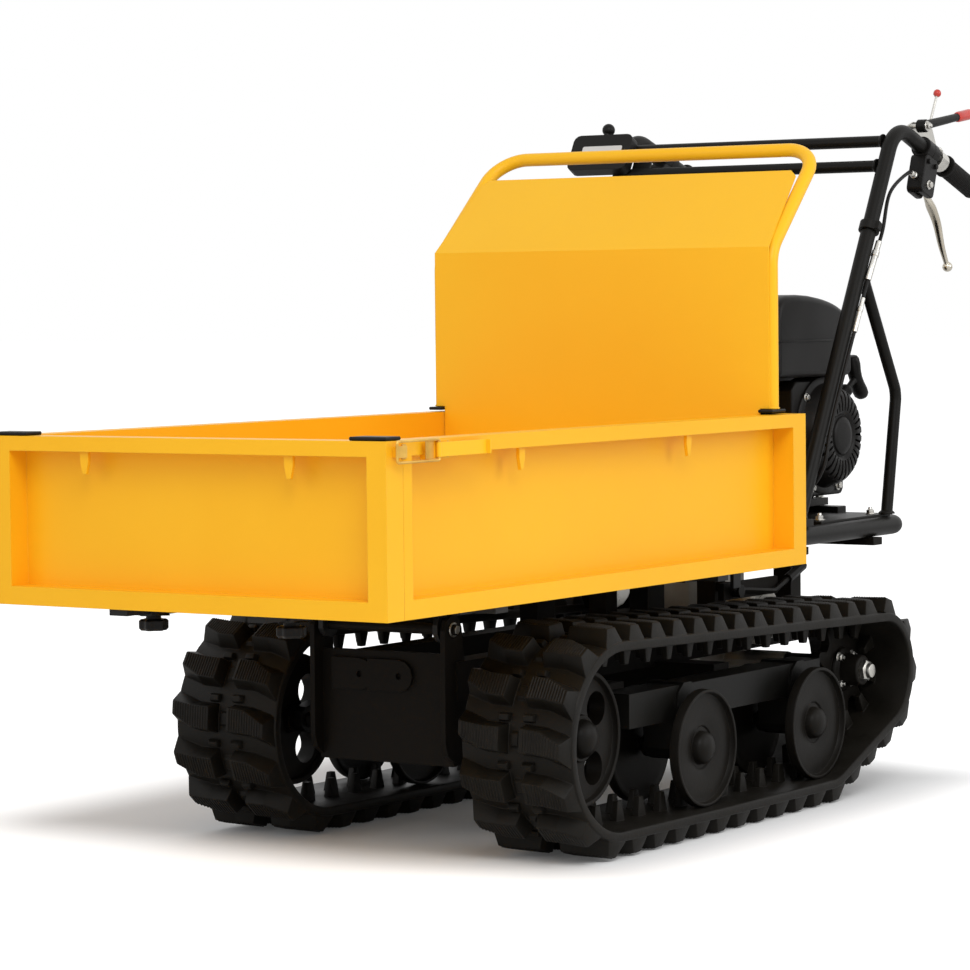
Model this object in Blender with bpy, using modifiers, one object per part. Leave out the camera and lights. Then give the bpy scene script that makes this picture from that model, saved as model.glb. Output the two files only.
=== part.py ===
"""Tracked dumper: a walk-behind crawler barrow with an extendable tipping tray.

Metres, +Z up. The front of the machine looks towards -Y and its left side is at +X.
The origin is on the ground, under the middle of the overall length and width.
Distances called "back" are measured from the tray's front face towards the rear.
"""
import math

import bmesh
import bpy
from mathutils import Matrix, Vector

# Driving dimensions, in metres
GAP = 0.0003                    # between pieces that touch
OVERALL_LENGTH = 1.85           # tray front to the ends of the grips

# Tray and its gates
TRAY_WIDTH = 0.65
TRAY_LENGTH = 1.105
GATE_BOTTOM = 0.373
GATE_HEIGHT = 0.228
GATE_THICK = 0.037
GATE_SKIN = 0.0025
FRONT_STILE = 0.030
SIDE_FRONT_STILE = 0.020
SIDE_REAR_STILE = 0.039
TOP_RAIL = 0.020
BOTTOM_RAIL = 0.025
HOOK_WIDTH = 0.014
HOOK_DROP = 0.030
HOOK_THICK = 0.005
FLOOR_THICK = 0.003
FLOOR_TOP = 0.3795
FLOOR_STEP = 0.001               # how far the floor drops where the headboard stands on it
BAR_WIDTH = 0.030
BAR_HEIGHT = 0.0120
FRONT_BAR_X = 0.115
FRONT_BAR_END = 0.33
SIDE_BAR_BACK = (0.27, 0.86)
SIDE_BAR_LENGTH = 0.165
SLEEVE_WALL = 0.003
SLEEVE_LENGTH = 0.055
CHANNEL_WIDTH = 0.040
CHANNEL_DEPTH = 0.032
CHANNEL_FRONT = 0.365
CAP_THICK = 0.005
CAP_LENGTH = 0.058

# Headboard behind the load
BOARD_THICK = 0.0025
BOARD_KINK_Z = 0.8525
BOARD_LEAN_BACK = 0.1225         # how far the sheet's top leans behind its foot
BOARD_TOP_Z = 0.9697
BOARD_CORNER = 0.012
RAIL_RADIUS = 0.0105
RAIL_LEAN_BACK = 0.177
RAIL_TOP_Z = 1.004
RAIL_BEND = 0.055

# Tilt hinge between chassis and tray
HINGE_BACK = 0.455
HINGE_Z = 0.318
HINGE_PIN_RADIUS = 0.008
HINGE_LUG_RADIUS = 0.020
EAR_THICK = 0.008
EAR_FOOT_BACK = 0.463
EAR_FOOT_Z = 0.160
EAR_FOOT_RADIUS = 0.030

# Corner latches and clamp knobs
LATCH_HEIGHT = 0.026
LATCH_LEVER_LENGTH = 0.112
LATCH_PIVOT_BACK = 0.104
BAIL_FRONT_BACK = 0.010
BAIL_WIRE = 0.0020
LATCH_PIN_RADIUS = 0.0035
KEEPER_BACK = (0.015, 0.034)
KNOB_RADIUS = 0.020
KNOB_HEIGHT = 0.017
KNOB_BACK = 0.080

# Rubber tracks: the belt runs round an idler, a sprocket and two rollers
TRACK_X = 0.25
BELT_WIDTH = 0.18
BELT_THICK = 0.014
LINK_PITCH = 0.060
BELT_ARC_STEP = math.radians(25)
LUG_HEIGHT = 0.022
LUG_SINK = 0.007                # how deep a lug's foot lies in the belt
LUG_INNER = (0.012, 0.017)      # distance from the belt's middle, at the foot and the crown
LUG_OUTER = (0.0892, 0.083)
LUG_FOOT = (0.036, 0.048)       # length along the belt, at the inner and the outer end
LUG_CROWN = (0.027, 0.020)
LUG_SLANT = 0.0135
LUG_DIP = 0.0010                 # how far a lug's corner dips below the flat run, at a roller
HORN_HEIGHT = 0.028
HORN_OFFSET = 0.022
HORN_THICK = 0.013
HORN_LENGTH = 0.024
HORN_TOP_SHARE = (0.7, 0.45)     # crown size as a share of the foot, across and along
SPROCKET_TEETH = 9
SPROCKET_BACK = 1.345
SPROCKET_Z = 0.187
SPROCKET_THICK = 0.016
IDLER_BACK = 0.5465
IDLER_Z = 0.1645
IDLER_RADIUS = 0.097
IDLER_HALF_WIDTH = 0.024
IDLER_WEB = (0.014, -0.012)       # the web's faces, outer and inner, from the wheel's middle
ROLLER_BACKS = (0.820, 1.165)
ROLLER_RADIUS = 0.086
DISC_OFFSET = 0.055
DISC_THICK = 0.020
WHEEL_STEPS = 16
IDLER_HUB_RADIUS = 0.032
IDLER_HOLE_RADIUS = 0.0245
IDLER_HOLE_OFFSET = 0.0595
IDLER_ARM_THICK = 0.022
AXLE_RADIUS = 0.010
AXLE_CLEARANCE = 0.0005
TOOTH_CLEARANCE = 0.0006
BEAM_HALF = 0.026
BEAM_HEIGHT = 0.050
BEAM_Z = 0.190

# Chassis
RAIL_INSIDE_BELT = 0.060          # from the belt's inner edge to the rail's middle
RAIL_SIZE = 0.040
CHASSIS_RAIL_Z = 0.245
CHASSIS_RAIL_HEIGHT = 0.055
CHASSIS_RAIL_END = 1.480
FRONT_PLATE_Z = (0.125, 0.283)
FRONT_PLATE_THICK = 0.008
CROSS_BEAM_BACKS = (0.7125, 1.02)
CROSS_BEAM_SIZE = 0.045
UPRIGHT_BACKS = (1.19, 1.44)
UPRIGHT_LENGTH = 0.034
UPRIGHT_HALF = 0.016
LOCK_BRACKET_X = (0.205, 0.215)
LOCK_PIVOT_BACK = 1.075
LOCK_PIVOT_Z = 0.330
LOCK_ROD_X = 0.2225
LOCK_ROD_RADIUS = 0.0045

# Engine deck, engine and drive
DECK_TUBE_RADIUS = 0.015
DECK_TUBE_Z = 0.405
DECK_TUBE_X = 0.25
DECK_FRONT = 1.165
DECK_REAR = 1.600
DECK_BEND = 0.055
CRANK_BACK = 1.460
CRANK_Z = 0.553
ENGINE_BASE_Z = 0.435
ENGINE_LEFT = 0.205
ROPE_X = 0.172
RECOIL_RADIUS = 0.096
SLOT_COUNT = 12
SHAFT_RADIUS = 0.0095
BORE_LEAN = math.radians(78)
BOSS_END = 0.092
FIN_COUNT = 6
FIN_PITCH = 0.0115
ENGINE_PULLEY_RADIUS = 0.035
GEARBOX_PULLEY_RADIUS = 0.052
PULLEY_WIDTH = 0.020
BELT_LINE_INSIDE = 0.019          # from the track belt's inner edge to the drive belt's middle
GUARD_DEPTH = 0.032
GUARD_WALL = 0.0025
DRIVE_BELT_WIDTH = 0.012
DRIVE_BELT_THICK = 0.008
GEARBOX_BACK = 1.300
GEARBOX_Z = 0.325
INPUT_SHAFT_RADIUS = 0.0112
COVER_RADIUS = 0.049
COVER_Z = 0.272

# Handle frame and controls
HANDLE_X = 0.25
HANDLE_RADIUS = 0.0125
HANDLE_FOOT_BACK = 1.212
HANDLE_REACH = 0.294              # from the bend to the ends of the grips, along the machine
HANDLE_BEND_Z = 1.056
HANDLE_BEND = 0.055
GRIP_SLOPE = math.radians(19)
GRIP_LENGTH = 0.115
GRIP_WALL = 0.0045
STRUT_RADIUS = 0.0095
CROSSBAR_RADIUS = 0.0095
CROSSBAR_SHARES = (0.957, 0.893)
HANDLE_PANEL_OFFSET = 0.035
HOUSING_ALONG = 0.120
HOUSING_HEIGHT = 0.066
LEVER_THICK = 0.008
BRACKET_ALONG = 0.165
BRACKET_ASIDE = 0.0215
CLUTCH_PIVOT = Vector((0.0, 0.095, 0.034))
CLUTCH_BOSS = 0.016
THROTTLE_PIVOT = Vector((-0.0265, 0.165, 0.048))
ROPE_RISE = math.radians(-30)
PANEL_WIDTH = 0.116
PANEL_HEIGHT = 0.068
PANEL_X = -0.281
PANEL_SHARE = 0.930
CABLE_RADIUS = 0.0032

FRONT_Y = -OVERALL_LENGTH / 2
GATE_TOP = GATE_BOTTOM + GATE_HEIGHT
FLOOR_BOTTOM = FLOOR_TOP - FLOOR_THICK
SIDE_INNER_X = TRAY_WIDTH / 2 - GATE_THICK
SPROCKET_PITCH_RADIUS = SPROCKET_TEETH * LINK_PITCH / (2 * math.pi)
BELT_AT_SPROCKET = SPROCKET_PITCH_RADIUS - BELT_THICK / 2
ROLLER_Z = LUG_HEIGHT + BELT_THICK + ROLLER_RADIUS + GAP + LUG_DIP
CHANNEL_BOTTOM = FLOOR_BOTTOM - CHANNEL_DEPTH
BOARD_BACK = TRAY_LENGTH - 0.070
BOARD_HALF = TRAY_WIDTH / 2 - 0.023
BOARD_TOP_HALF = BOARD_HALF - 0.015
BOARD_TOP_BACK = BOARD_BACK + BOARD_LEAN_BACK
RAIL_TOP_BACK = BOARD_BACK + RAIL_LEAN_BACK
BELT_INNER_EDGE = TRACK_X - BELT_WIDTH / 2
RAIL_X = BELT_INNER_EDGE - RAIL_INSIDE_BELT
CHANNEL_X = RAIL_X
EAR_X = RAIL_X + 0.0125
BELT_LINE_X = -(BELT_INNER_EDGE - BELT_LINE_INSIDE)
SPROCKET_HUB_X = BELT_INNER_EDGE + 0.002   # where the hub meets the end of its axle tube
HANDLE_BEND_BACK = OVERALL_LENGTH - HANDLE_REACH
DECK_TOP = DECK_TUBE_Z + DECK_TUBE_RADIUS + 0.004

for old in list(bpy.data.objects):
    bpy.data.objects.remove(old, do_unlink=True)

parts = bpy.data.collections.new("tracked_dumper")
bpy.context.scene.collection.children.link(parts)
workshop = bpy.data.collections.new("construction")
bpy.context.scene.collection.children.link(workshop)


def make_material(name, colour, roughness, metallic):
    material = bpy.data.materials.new(name)
    material.use_nodes = True
    shader = material.node_tree.nodes["Principled BSDF"]
    shader.inputs["Base Color"].default_value = (*colour, 1.0)
    shader.inputs["Roughness"].default_value = roughness
    shader.inputs["Metallic"].default_value = metallic
    return material


YELLOW = make_material("yellow_paint", (0.93, 0.50, 0.015), 0.35, 0.0)
BLACK = make_material("black_paint", (0.012, 0.012, 0.013), 0.45, 0.0)
RUBBER = make_material("track_rubber", (0.016, 0.015, 0.014), 0.75, 0.0)
PLASTIC = make_material("black_plastic", (0.015, 0.015, 0.015), 0.5, 0.0)
WHEEL = make_material("wheel_paint", (0.02, 0.02, 0.02), 0.5, 0.0)
CAST = make_material("engine_casting", (0.18, 0.18, 0.18), 0.5, 0.8)
ZINC = make_material("zinc_steel", (0.55, 0.54, 0.5), 0.35, 1.0)
POLISHED = make_material("polished_lever", (0.75, 0.73, 0.68), 0.2, 1.0)


def at(x, back, z):
    """A point from its distance left of centre, distance back from the tray front, and height."""
    return Vector((x, FRONT_Y + back, z))


# Shapes are made as loose objects in the construction collection and joined into parts

def link_shape(data):
    shape = bpy.data.objects.new("shape", data)
    workshop.objects.link(shape)
    return shape


def shape_from_bmesh(bm, matrix):
    mesh = bpy.data.meshes.new("shape")
    bm.transform(matrix)
    bm.to_mesh(mesh)
    bm.free()
    return link_shape(mesh)


def box(low, high):
    """A box between two corners given as (x, back, z)."""
    low = at(*low)
    high = at(*high)
    return block(high - low, Matrix.Translation((low + high) / 2))


def block(size, matrix):
    """A box about its own centre, placed by a matrix."""
    bm = bmesh.new()
    bmesh.ops.create_cube(bm, size=1.0)
    return shape_from_bmesh(bm, matrix @ Matrix.Diagonal((*size, 1.0)))


AXIS_TURN = {
    "X": Matrix.Rotation(math.radians(90), 4, "Y"),
    "Y": Matrix.Rotation(math.radians(-90), 4, "X"),
    "Z": Matrix.Identity(4),
}


def cylinder(centre, radius, length, axis="X", sides=24):
    bm = bmesh.new()
    bmesh.ops.create_cone(bm, cap_ends=True, segments=sides, radius1=radius, radius2=radius, depth=length)
    return shape_from_bmesh(bm, Matrix.Translation(centre) @ AXIS_TURN[axis])


def ball(centre, radius):
    bm = bmesh.new()
    bmesh.ops.create_uvsphere(bm, u_segments=8, v_segments=6, radius=radius)
    return shape_from_bmesh(bm, Matrix.Translation(centre))


PLANES = {
    "YZ": Matrix(((0, 0, 1, 0), (1, 0, 0, 0), (0, 1, 0, 0), (0, 0, 0, 1))),
    "XZ": Matrix(((1, 0, 0, 0), (0, 0, -1, 0), (0, 1, 0, 0), (0, 0, 0, 1))),
    "XY": Matrix.Identity(4),
}


def plate(outline, thickness, centre, plane="YZ", holes=()):
    """A flat outline given thickness, with holes as further outlines, standing in a plane."""
    curve = bpy.data.curves.new("shape", "CURVE")
    curve.dimensions = "2D"
    curve.fill_mode = "BOTH"
    curve.extrude = thickness / 2
    for points in [outline, *holes]:
        spline = curve.splines.new("POLY")
        spline.points.add(len(points) - 1)
        for point, (u, v) in zip(spline.points, points):
            point.co = (u, v, 0.0, 1.0)
        spline.use_cyclic_u = True
    shape = link_shape(curve)
    shape.matrix_world = Matrix.Translation(centre) @ PLANES[plane]
    return baked(shape)


def circle_points(u, v, radius, count=10, first=0.0):
    turns = [first + 2 * math.pi * i / count for i in range(count)]
    return [(u + radius * math.cos(t), v + radius * math.sin(t)) for t in turns]


def bore_points(u, v, radius, count=8):
    """A hole drawn round a circle, so that its flats stay clear of a round pin."""
    return circle_points(u, v, radius / math.cos(math.pi / count), count)


def arc_points(u, v, radius, start, end, step=math.radians(24)):
    count = max(2, int(abs(end - start) / step + 0.999))
    turns = [start + (end - start) * i / count for i in range(count + 1)]
    return [(u + radius * math.cos(t), v + radius * math.sin(t)) for t in turns]


def rounded_rectangle(width, height, radius, count=3):
    """A rectangle about the origin with round corners."""
    points = []
    corners = ((1, 1, 0), (-1, 1, 90), (-1, -1, 180), (1, -1, 270))
    for sx, sy, start in corners:
        u = sx * (width / 2 - radius)
        v = sy * (height / 2 - radius)
        first = math.radians(start)
        points += arc_points(u, v, radius, first, first + math.pi / 2, math.pi / 2 / count)
    return points


def rounded_path(points, bend, steps=4):
    """A path through the points, with each inner corner rounded to the bend radius."""
    path = [Vector(points[0])]
    for before, corner, after in zip(points, points[1:], points[2:]):
        corner = Vector(corner)
        inward = (Vector(before) - corner).normalized()
        outward = (Vector(after) - corner).normalized()
        half = inward.angle(outward) / 2
        reach = bend / math.tan(half)
        centre = corner + (inward + outward).normalized() * (bend / math.sin(half))
        first = (corner + inward * reach - centre).normalized()
        last = (corner + outward * reach - centre).normalized()
        for i in range(steps + 1):
            path.append(centre + first.slerp(last, i / steps) * bend)
    path.append(Vector(points[-1]))
    return path


def smooth_path(points, spacing):
    """Points at an even spacing on a smooth curve through the points that were chosen."""
    chosen = [Vector(p) for p in points]
    chosen = [2 * chosen[0] - chosen[1], *chosen, 2 * chosen[-1] - chosen[-2]]
    path = []
    for p0, p1, p2, p3 in zip(chosen, chosen[1:], chosen[2:], chosen[3:]):
        count = max(2, round((p2 - p1).length / spacing))
        for i in range(count):
            t = i / count
            slope = (p2 - p0) + (2 * p0 - 5 * p1 + 4 * p2 - p3) * t + (3 * p1 - p0 - 3 * p2 + p3) * t * t
            path.append(p1 + slope * (t / 2))
    path.append(chosen[-2])
    return path


def tube(path, radius, resolution=3, cyclic=False, thick=None):
    """A round bar or tube along a path; thick gives a radius factor for each point."""
    curve = bpy.data.curves.new("shape", "CURVE")
    curve.dimensions = "3D"
    curve.bevel_depth = radius
    curve.bevel_resolution = resolution
    curve.use_fill_caps = not cyclic
    spline = curve.splines.new("POLY")
    spline.points.add(len(path) - 1)
    for i, (point, place) in enumerate(zip(spline.points, path)):
        point.co = (*place, 1.0)
        point.radius = thick[i] if thick else 1.0
    spline.use_cyclic_u = cyclic
    return baked(link_shape(curve))


def turned(profile, centre, axis="X", steps=24):
    """A turned shape: (radius, height) points from the top end down, spun about an axis."""
    mesh = bpy.data.meshes.new("shape")
    edges = [(i, i + 1) for i in range(len(profile) - 1)]
    mesh.from_pydata([(r, 0.0, h) for r, h in profile], edges, [])
    shape = link_shape(mesh)
    screw = shape.modifiers.new("spin", "SCREW")
    screw.axis = "Z"
    screw.steps = steps
    screw.render_steps = steps
    screw.use_merge_vertices = True
    screw.merge_threshold = 0.00005
    shape.matrix_world = Matrix.Translation(centre) @ AXIS_TURN[axis]
    return baked(shape)


def baked(shape):
    """Replace a curve, or a mesh with modifiers, by one welded mesh in world space."""
    bpy.context.view_layer.update()
    graph = bpy.context.evaluated_depsgraph_get()
    mesh = bpy.data.meshes.new_from_object(shape.evaluated_get(graph))
    bm = bmesh.new()
    bm.from_mesh(mesh)
    bm.transform(shape.matrix_world)
    bmesh.ops.remove_doubles(bm, verts=bm.verts, dist=0.000002)
    bmesh.ops.dissolve_degenerate(bm, edges=bm.edges, dist=0.000001)
    bmesh.ops.recalc_face_normals(bm, faces=bm.faces)
    bm.to_mesh(mesh)
    bm.free()
    bpy.data.objects.remove(shape, do_unlink=True)
    return link_shape(mesh)


def combined(operation, base, others):
    for other in others:
        change = base.modifiers.new(operation.lower(), "BOOLEAN")
        change.operation = operation
        change.solver = "EXACT"
        change.object = other
    result = baked(base)
    for other in others:
        bpy.data.objects.remove(other, do_unlink=True)
    return result


def joined(*shapes):
    """One body from shapes that run into each other."""
    return combined("UNION", shapes[0], shapes[1:])


def cut(shape, *cutters):
    return combined("DIFFERENCE", shape, cutters)


def gathered(shapes):
    """Shapes that stay clear of each other, as one mesh, to join or cut with in one step."""
    bm = bmesh.new()
    for shape in shapes:
        shape.data.transform(shape.matrix_world)
        bm.from_mesh(shape.data)
        bpy.data.objects.remove(shape, do_unlink=True)
    return shape_from_bmesh(bm, Matrix.Identity(4))


def bevelled(shape, width, segments=1, angle=40):
    bevel = shape.modifiers.new("edges", "BEVEL")
    bevel.width = width
    bevel.segments = segments
    bevel.limit_method = "ANGLE"
    bevel.angle_limit = math.radians(angle)
    return baked(shape)


def part(name, material, shape, origin=(0.0, 0.0, 0.0)):
    """Name a finished shape, give it its material, and put its origin where it turns."""
    origin = Vector(origin)
    mesh = shape.data
    mesh.transform(Matrix.Translation(-origin) @ shape.matrix_world)
    mesh.name = name
    mesh.materials.clear()
    mesh.materials.append(material)
    mesh.shade_smooth()
    mesh.set_sharp_from_angle(angle=math.radians(35))
    bpy.data.objects.remove(shape, do_unlink=True)
    piece = bpy.data.objects.new(name, mesh)
    piece.location = origin
    parts.objects.link(piece)
    return piece


def repeated(piece, name):
    """A part turned the same way, at the same distance on the other side of the machine."""
    mesh = piece.data.copy()
    mesh.name = name
    twin = bpy.data.objects.new(name, mesh)
    twin.location = (-piece.location.x, piece.location.y, piece.location.z)
    parts.objects.link(twin)
    return twin


def mirrored(piece, name):
    """The same part for the other side of the machine."""
    mesh = piece.data.copy()
    mesh.transform(Matrix.Scale(-1, 4, (1, 0, 0)))
    mesh.flip_normals()
    mesh.name = name
    twin = bpy.data.objects.new(name, mesh)
    twin.location = (-piece.location.x, piece.location.y, piece.location.z)
    parts.objects.link(twin)
    return twin


def hull_outline(first, second, step=math.radians(45)):
    """The outline round two circles (u, v, radius), as a strap drawn round both."""
    (u1, v1, r1), (u2, v2, r2) = first, second
    away = math.atan2(v2 - v1, u2 - u1)
    lean = math.acos((r1 - r2) / math.hypot(u2 - u1, v2 - v1))
    points = arc_points(u2, v2, r2, away - lean, away + lean, step)
    points += arc_points(u1, v1, r1, away + lean, away + 2 * math.pi - lean, step)
    return points


# Tray

def rope_hook(u, normal_out, along):
    """A small pressed hook that hangs under a gate's top rail, for the load's ropes."""
    outline = [
        (-HOOK_WIDTH / 2, 0.004),
        (HOOK_WIDTH / 2, 0.004),
        (HOOK_WIDTH / 2, -HOOK_DROP * 0.45),
        (HOOK_WIDTH * 0.22, -HOOK_DROP),
        (-HOOK_WIDTH * 0.22, -HOOK_DROP),
        (-HOOK_WIDTH / 2, -HOOK_DROP * 0.45),
    ]
    top = GATE_TOP - TOP_RAIL
    if along == "X":
        return plate(outline, HOOK_THICK, at(u, normal_out, top), "XZ")
    return plate(outline, HOOK_THICK, at(normal_out, u, top), "YZ")


def front_gate():
    half = TRAY_WIDTH / 2
    frame = box((-half, 0, GATE_BOTTOM), (half, GATE_THICK, GATE_TOP))
    recess = box(
        (-half + FRONT_STILE, -0.01, GATE_BOTTOM + BOTTOM_RAIL),
        (half - FRONT_STILE, GATE_THICK - GATE_SKIN, GATE_TOP - TOP_RAIL),
    )
    panel = cut(frame, recess)
    hooks = [rope_hook(sign * half * 0.52, 0.008, "X") for sign in (-1, 1)]
    bars = [
        box(
            (sign * FRONT_BAR_X - BAR_WIDTH / 2, 0.006, FLOOR_BOTTOM - GAP - BAR_HEIGHT),
            (sign * FRONT_BAR_X + BAR_WIDTH / 2, FRONT_BAR_END, FLOOR_BOTTOM - GAP),
        )
        for sign in (-1, 1)
    ]
    keepers = [
        box(
            (min(sign * (half - 0.004), sign * (half + 0.008)), KEEPER_BACK[0], latch_z() - 0.007),
            (max(sign * (half - 0.004), sign * (half + 0.008)), KEEPER_BACK[1], latch_z() + 0.007),
        )
        for sign in (-1, 1)
    ]
    gate = joined(panel, *hooks, *bars, *keepers)
    part("front_gate", YELLOW, gate, at(0, GATE_THICK / 2, GATE_BOTTOM))


def side_gate():
    front = GATE_THICK + 2 * GAP
    frame = box((SIDE_INNER_X, front, GATE_BOTTOM), (TRAY_WIDTH / 2, TRAY_LENGTH, GATE_TOP))
    recess = box(
        (SIDE_INNER_X + GATE_SKIN, front + SIDE_FRONT_STILE, GATE_BOTTOM + BOTTOM_RAIL),
        (TRAY_WIDTH / 2 + 0.01, TRAY_LENGTH - SIDE_REAR_STILE, GATE_TOP - TOP_RAIL),
    )
    panel = cut(frame, recess)
    hooks = [rope_hook(back, TRAY_WIDTH / 2 - 0.008, "Y") for back in (0.323, 0.764)]
    inner_end = TRAY_WIDTH / 2 - SIDE_BAR_LENGTH
    bars = [
        box(
            (inner_end, back - BAR_WIDTH / 2, FLOOR_BOTTOM - GAP - BAR_HEIGHT),
            (TRAY_WIDTH / 2 - 0.006, back + BAR_WIDTH / 2, FLOOR_BOTTOM - GAP),
        )
        for back in SIDE_BAR_BACK
    ]
    seat = box(
        (TRAY_WIDTH / 2 - 0.006, LATCH_PIVOT_BACK - 0.020, latch_z() - LATCH_HEIGHT / 2 + 0.001),
        (TRAY_WIDTH / 2 + 0.006, LATCH_PIVOT_BACK + 0.034, latch_z() + LATCH_HEIGHT / 2 - 0.001),
    )
    gate = joined(panel, *hooks, *bars, seat)
    left = part("side_gate_left", YELLOW, gate, at(SIDE_INNER_X, TRAY_LENGTH / 2, GATE_BOTTOM))
    mirrored(left, "side_gate_right")


def latch_z():
    return GATE_TOP - TOP_RAIL / 2 - 0.004


def corner_latch():
    """An over-centre latch: a flat lever on the side gate that draws a wire bail."""
    face = TRAY_WIDTH / 2 + 0.006 + GAP
    pivot = at(face + LATCH_PIN_RADIUS, LATCH_PIVOT_BACK, latch_z())
    rear = LATCH_PIVOT_BACK + LATCH_LEVER_LENGTH
    half = LATCH_HEIGHT * 0.36
    inner = face + LATCH_PIN_RADIUS - 0.0015
    blade = box((inner, LATCH_PIVOT_BACK - 0.001, latch_z() - half), (inner + 0.003, rear, latch_z() + half))
    lip = box((inner + 0.001, rear - 0.003, latch_z() - half), (face + 0.010, rear, latch_z() + half))
    knuckle = cylinder(pivot, LATCH_PIN_RADIUS, 2 * half, "Z", 12)
    lever = part("latch_lever_left", ZINC, joined(blade, lip, knuckle), pivot)
    mirrored(lever, "latch_lever_right")
    # The wire bail reaches forward past the keeper, just outside the keeper's nose
    wire_x = TRAY_WIDTH / 2 + 0.008 + BAIL_WIRE + 2 * GAP
    reach = LATCH_HEIGHT / 2 + 0.0005
    end = half + 2 * GAP
    path = rounded_path([
        at(wire_x, LATCH_PIVOT_BACK, latch_z() + end), at(wire_x, LATCH_PIVOT_BACK, latch_z() + reach),
        at(wire_x, BAIL_FRONT_BACK, latch_z() + reach), at(wire_x, BAIL_FRONT_BACK, latch_z() - reach),
        at(wire_x, LATCH_PIVOT_BACK, latch_z() - reach), at(wire_x, LATCH_PIVOT_BACK, latch_z() - end),
    ], 0.003, 2)
    bail = part("latch_bail_left", ZINC, tube(path, BAIL_WIRE, 1), pivot)
    mirrored(bail, "latch_bail_right")


def sleeve(centre_x, centre_back, axis):
    """A guide under the floor that a gate's slide bar runs in."""
    inner = BAR_WIDTH / 2 + GAP
    outer = inner + SLEEVE_WALL
    half = SLEEVE_LENGTH / 2
    drop = BAR_HEIGHT + 2 * GAP
    bottom = FLOOR_BOTTOM - drop - SLEEVE_WALL
    if axis == "Y":
        body = box((centre_x - outer, centre_back - half, bottom),
                   (centre_x + outer, centre_back + half, FLOOR_BOTTOM + 0.001))
        slot = box((centre_x - inner, centre_back - half - 0.01, FLOOR_BOTTOM - drop),
                   (centre_x + inner, centre_back + half + 0.01, FLOOR_BOTTOM))
    else:
        body = box((centre_x - half, centre_back - outer, bottom),
                   (centre_x + half, centre_back + outer, FLOOR_BOTTOM + 0.001))
        slot = box((centre_x - half - 0.01, centre_back - inner, FLOOR_BOTTOM - drop),
                   (centre_x + half + 0.01, centre_back + inner, FLOOR_BOTTOM))
    return cut(body, slot)


def tray_floor():
    half = SIDE_INNER_X - 2 * GAP
    front = GATE_THICK + 2 * GAP
    rear = BOARD_BACK + 0.026
    sheet = box((-half, front, FLOOR_BOTTOM), (half, BOARD_BACK - 0.003, FLOOR_TOP))
    step = box((-half, BOARD_BACK - 0.005, FLOOR_BOTTOM), (half, rear, FLOOR_TOP - FLOOR_STEP))
    channels = [
        box((sign * CHANNEL_X - CHANNEL_WIDTH / 2, CHANNEL_FRONT, CHANNEL_BOTTOM),
            (sign * CHANNEL_X + CHANNEL_WIDTH / 2, rear - 0.002, FLOOR_BOTTOM + 0.001))
        for sign in (-1, 1)
    ]
    ties = [
        box((-CHANNEL_X - 0.005, back, CHANNEL_BOTTOM + 0.008),
            (CHANNEL_X + 0.005, back + 0.03, FLOOR_BOTTOM + 0.001))
        for back in (CHANNEL_FRONT + 0.004, rear - 0.081)
    ]
    lug_top = CHANNEL_BOTTOM + 0.004
    lugs = []
    for sign in (-1, 1):
        outline = hull_outline((0, 0, HINGE_LUG_RADIUS), (0.012, lug_top - HINGE_Z + 0.004, 0.019))
        hole = bore_points(0, 0, HINGE_PIN_RADIUS + AXLE_CLEARANCE, 12)
        lugs.append(plate(outline, 0.008, at(sign * (EAR_X - 0.014), HINGE_BACK, HINGE_Z), "YZ", [hole]))
    sleeves = [sleeve(sign * FRONT_BAR_X, back, "Y") for sign in (-1, 1) for back in (KNOB_BACK, 0.275)]
    sleeves += [sleeve(sign * 0.238, back, "X") for sign in (-1, 1) for back in SIDE_BAR_BACK]
    catch_x = LOCK_ROD_X + LOCK_ROD_RADIUS + GAP
    catch = box((catch_x, rear - 0.018, FLOOR_BOTTOM - 0.040),
                (catch_x + 0.006, rear + 0.004, FLOOR_BOTTOM + 0.001))
    floor = joined(sheet, step, *channels, *ties, *lugs, *sleeves, catch)
    part("tray_floor", YELLOW, floor, at(0, HINGE_BACK, HINGE_Z))


def headboard():
    """The folded sheet behind the load: upright, then leaning back and narrowing above the kink."""
    notch_z = GATE_TOP + 0.009
    lower_half = SIDE_INNER_X - 0.002
    low = FLOOR_TOP - FLOOR_STEP + GAP
    lean = Vector((BOARD_TOP_BACK - BOARD_BACK, BOARD_TOP_Z - BOARD_KINK_Z))
    flat_top = BOARD_KINK_Z + lean.length
    half_outline = [
        (lower_half, low), (lower_half, notch_z), (BOARD_HALF, notch_z), (BOARD_HALF, BOARD_KINK_Z),
        (BOARD_TOP_HALF, flat_top - BOARD_CORNER), (BOARD_TOP_HALF - BOARD_CORNER, flat_top),
    ]
    bm = bmesh.new()
    outline = half_outline + [(-u, v) for u, v in reversed(half_outline)]
    bm.faces.new([bm.verts.new((u, 0.0, v)) for u, v in outline])
    kink = Vector((0, 0, BOARD_KINK_Z))
    everything = bm.verts[:] + bm.edges[:] + bm.faces[:]
    bmesh.ops.bisect_plane(bm, geom=everything, plane_co=kink, plane_no=(0, 0, 1), dist=0.00001)
    above = [v for v in bm.verts if v.co.z > BOARD_KINK_Z + 0.0001]
    fold = Matrix.Rotation(-math.atan2(lean.x, lean.y), 3, "X")
    bmesh.ops.rotate(bm, cent=kink, matrix=fold, verts=above)
    sheet = shape_from_bmesh(bm, Matrix.Translation(at(0, BOARD_BACK, 0)))
    solid = sheet.modifiers.new("thickness", "SOLIDIFY")
    solid.thickness = BOARD_THICK
    solid.offset = 0.0
    solid.use_even_offset = True
    sheet = baked(sheet)
    foot = box((-lower_half + 0.004, BOARD_BACK - 0.001, low),
               (lower_half - 0.004, BOARD_BACK + 0.022, low + 0.003))
    part("headboard", YELLOW, joined(sheet, foot), at(0, HINGE_BACK, HINGE_Z))


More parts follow.
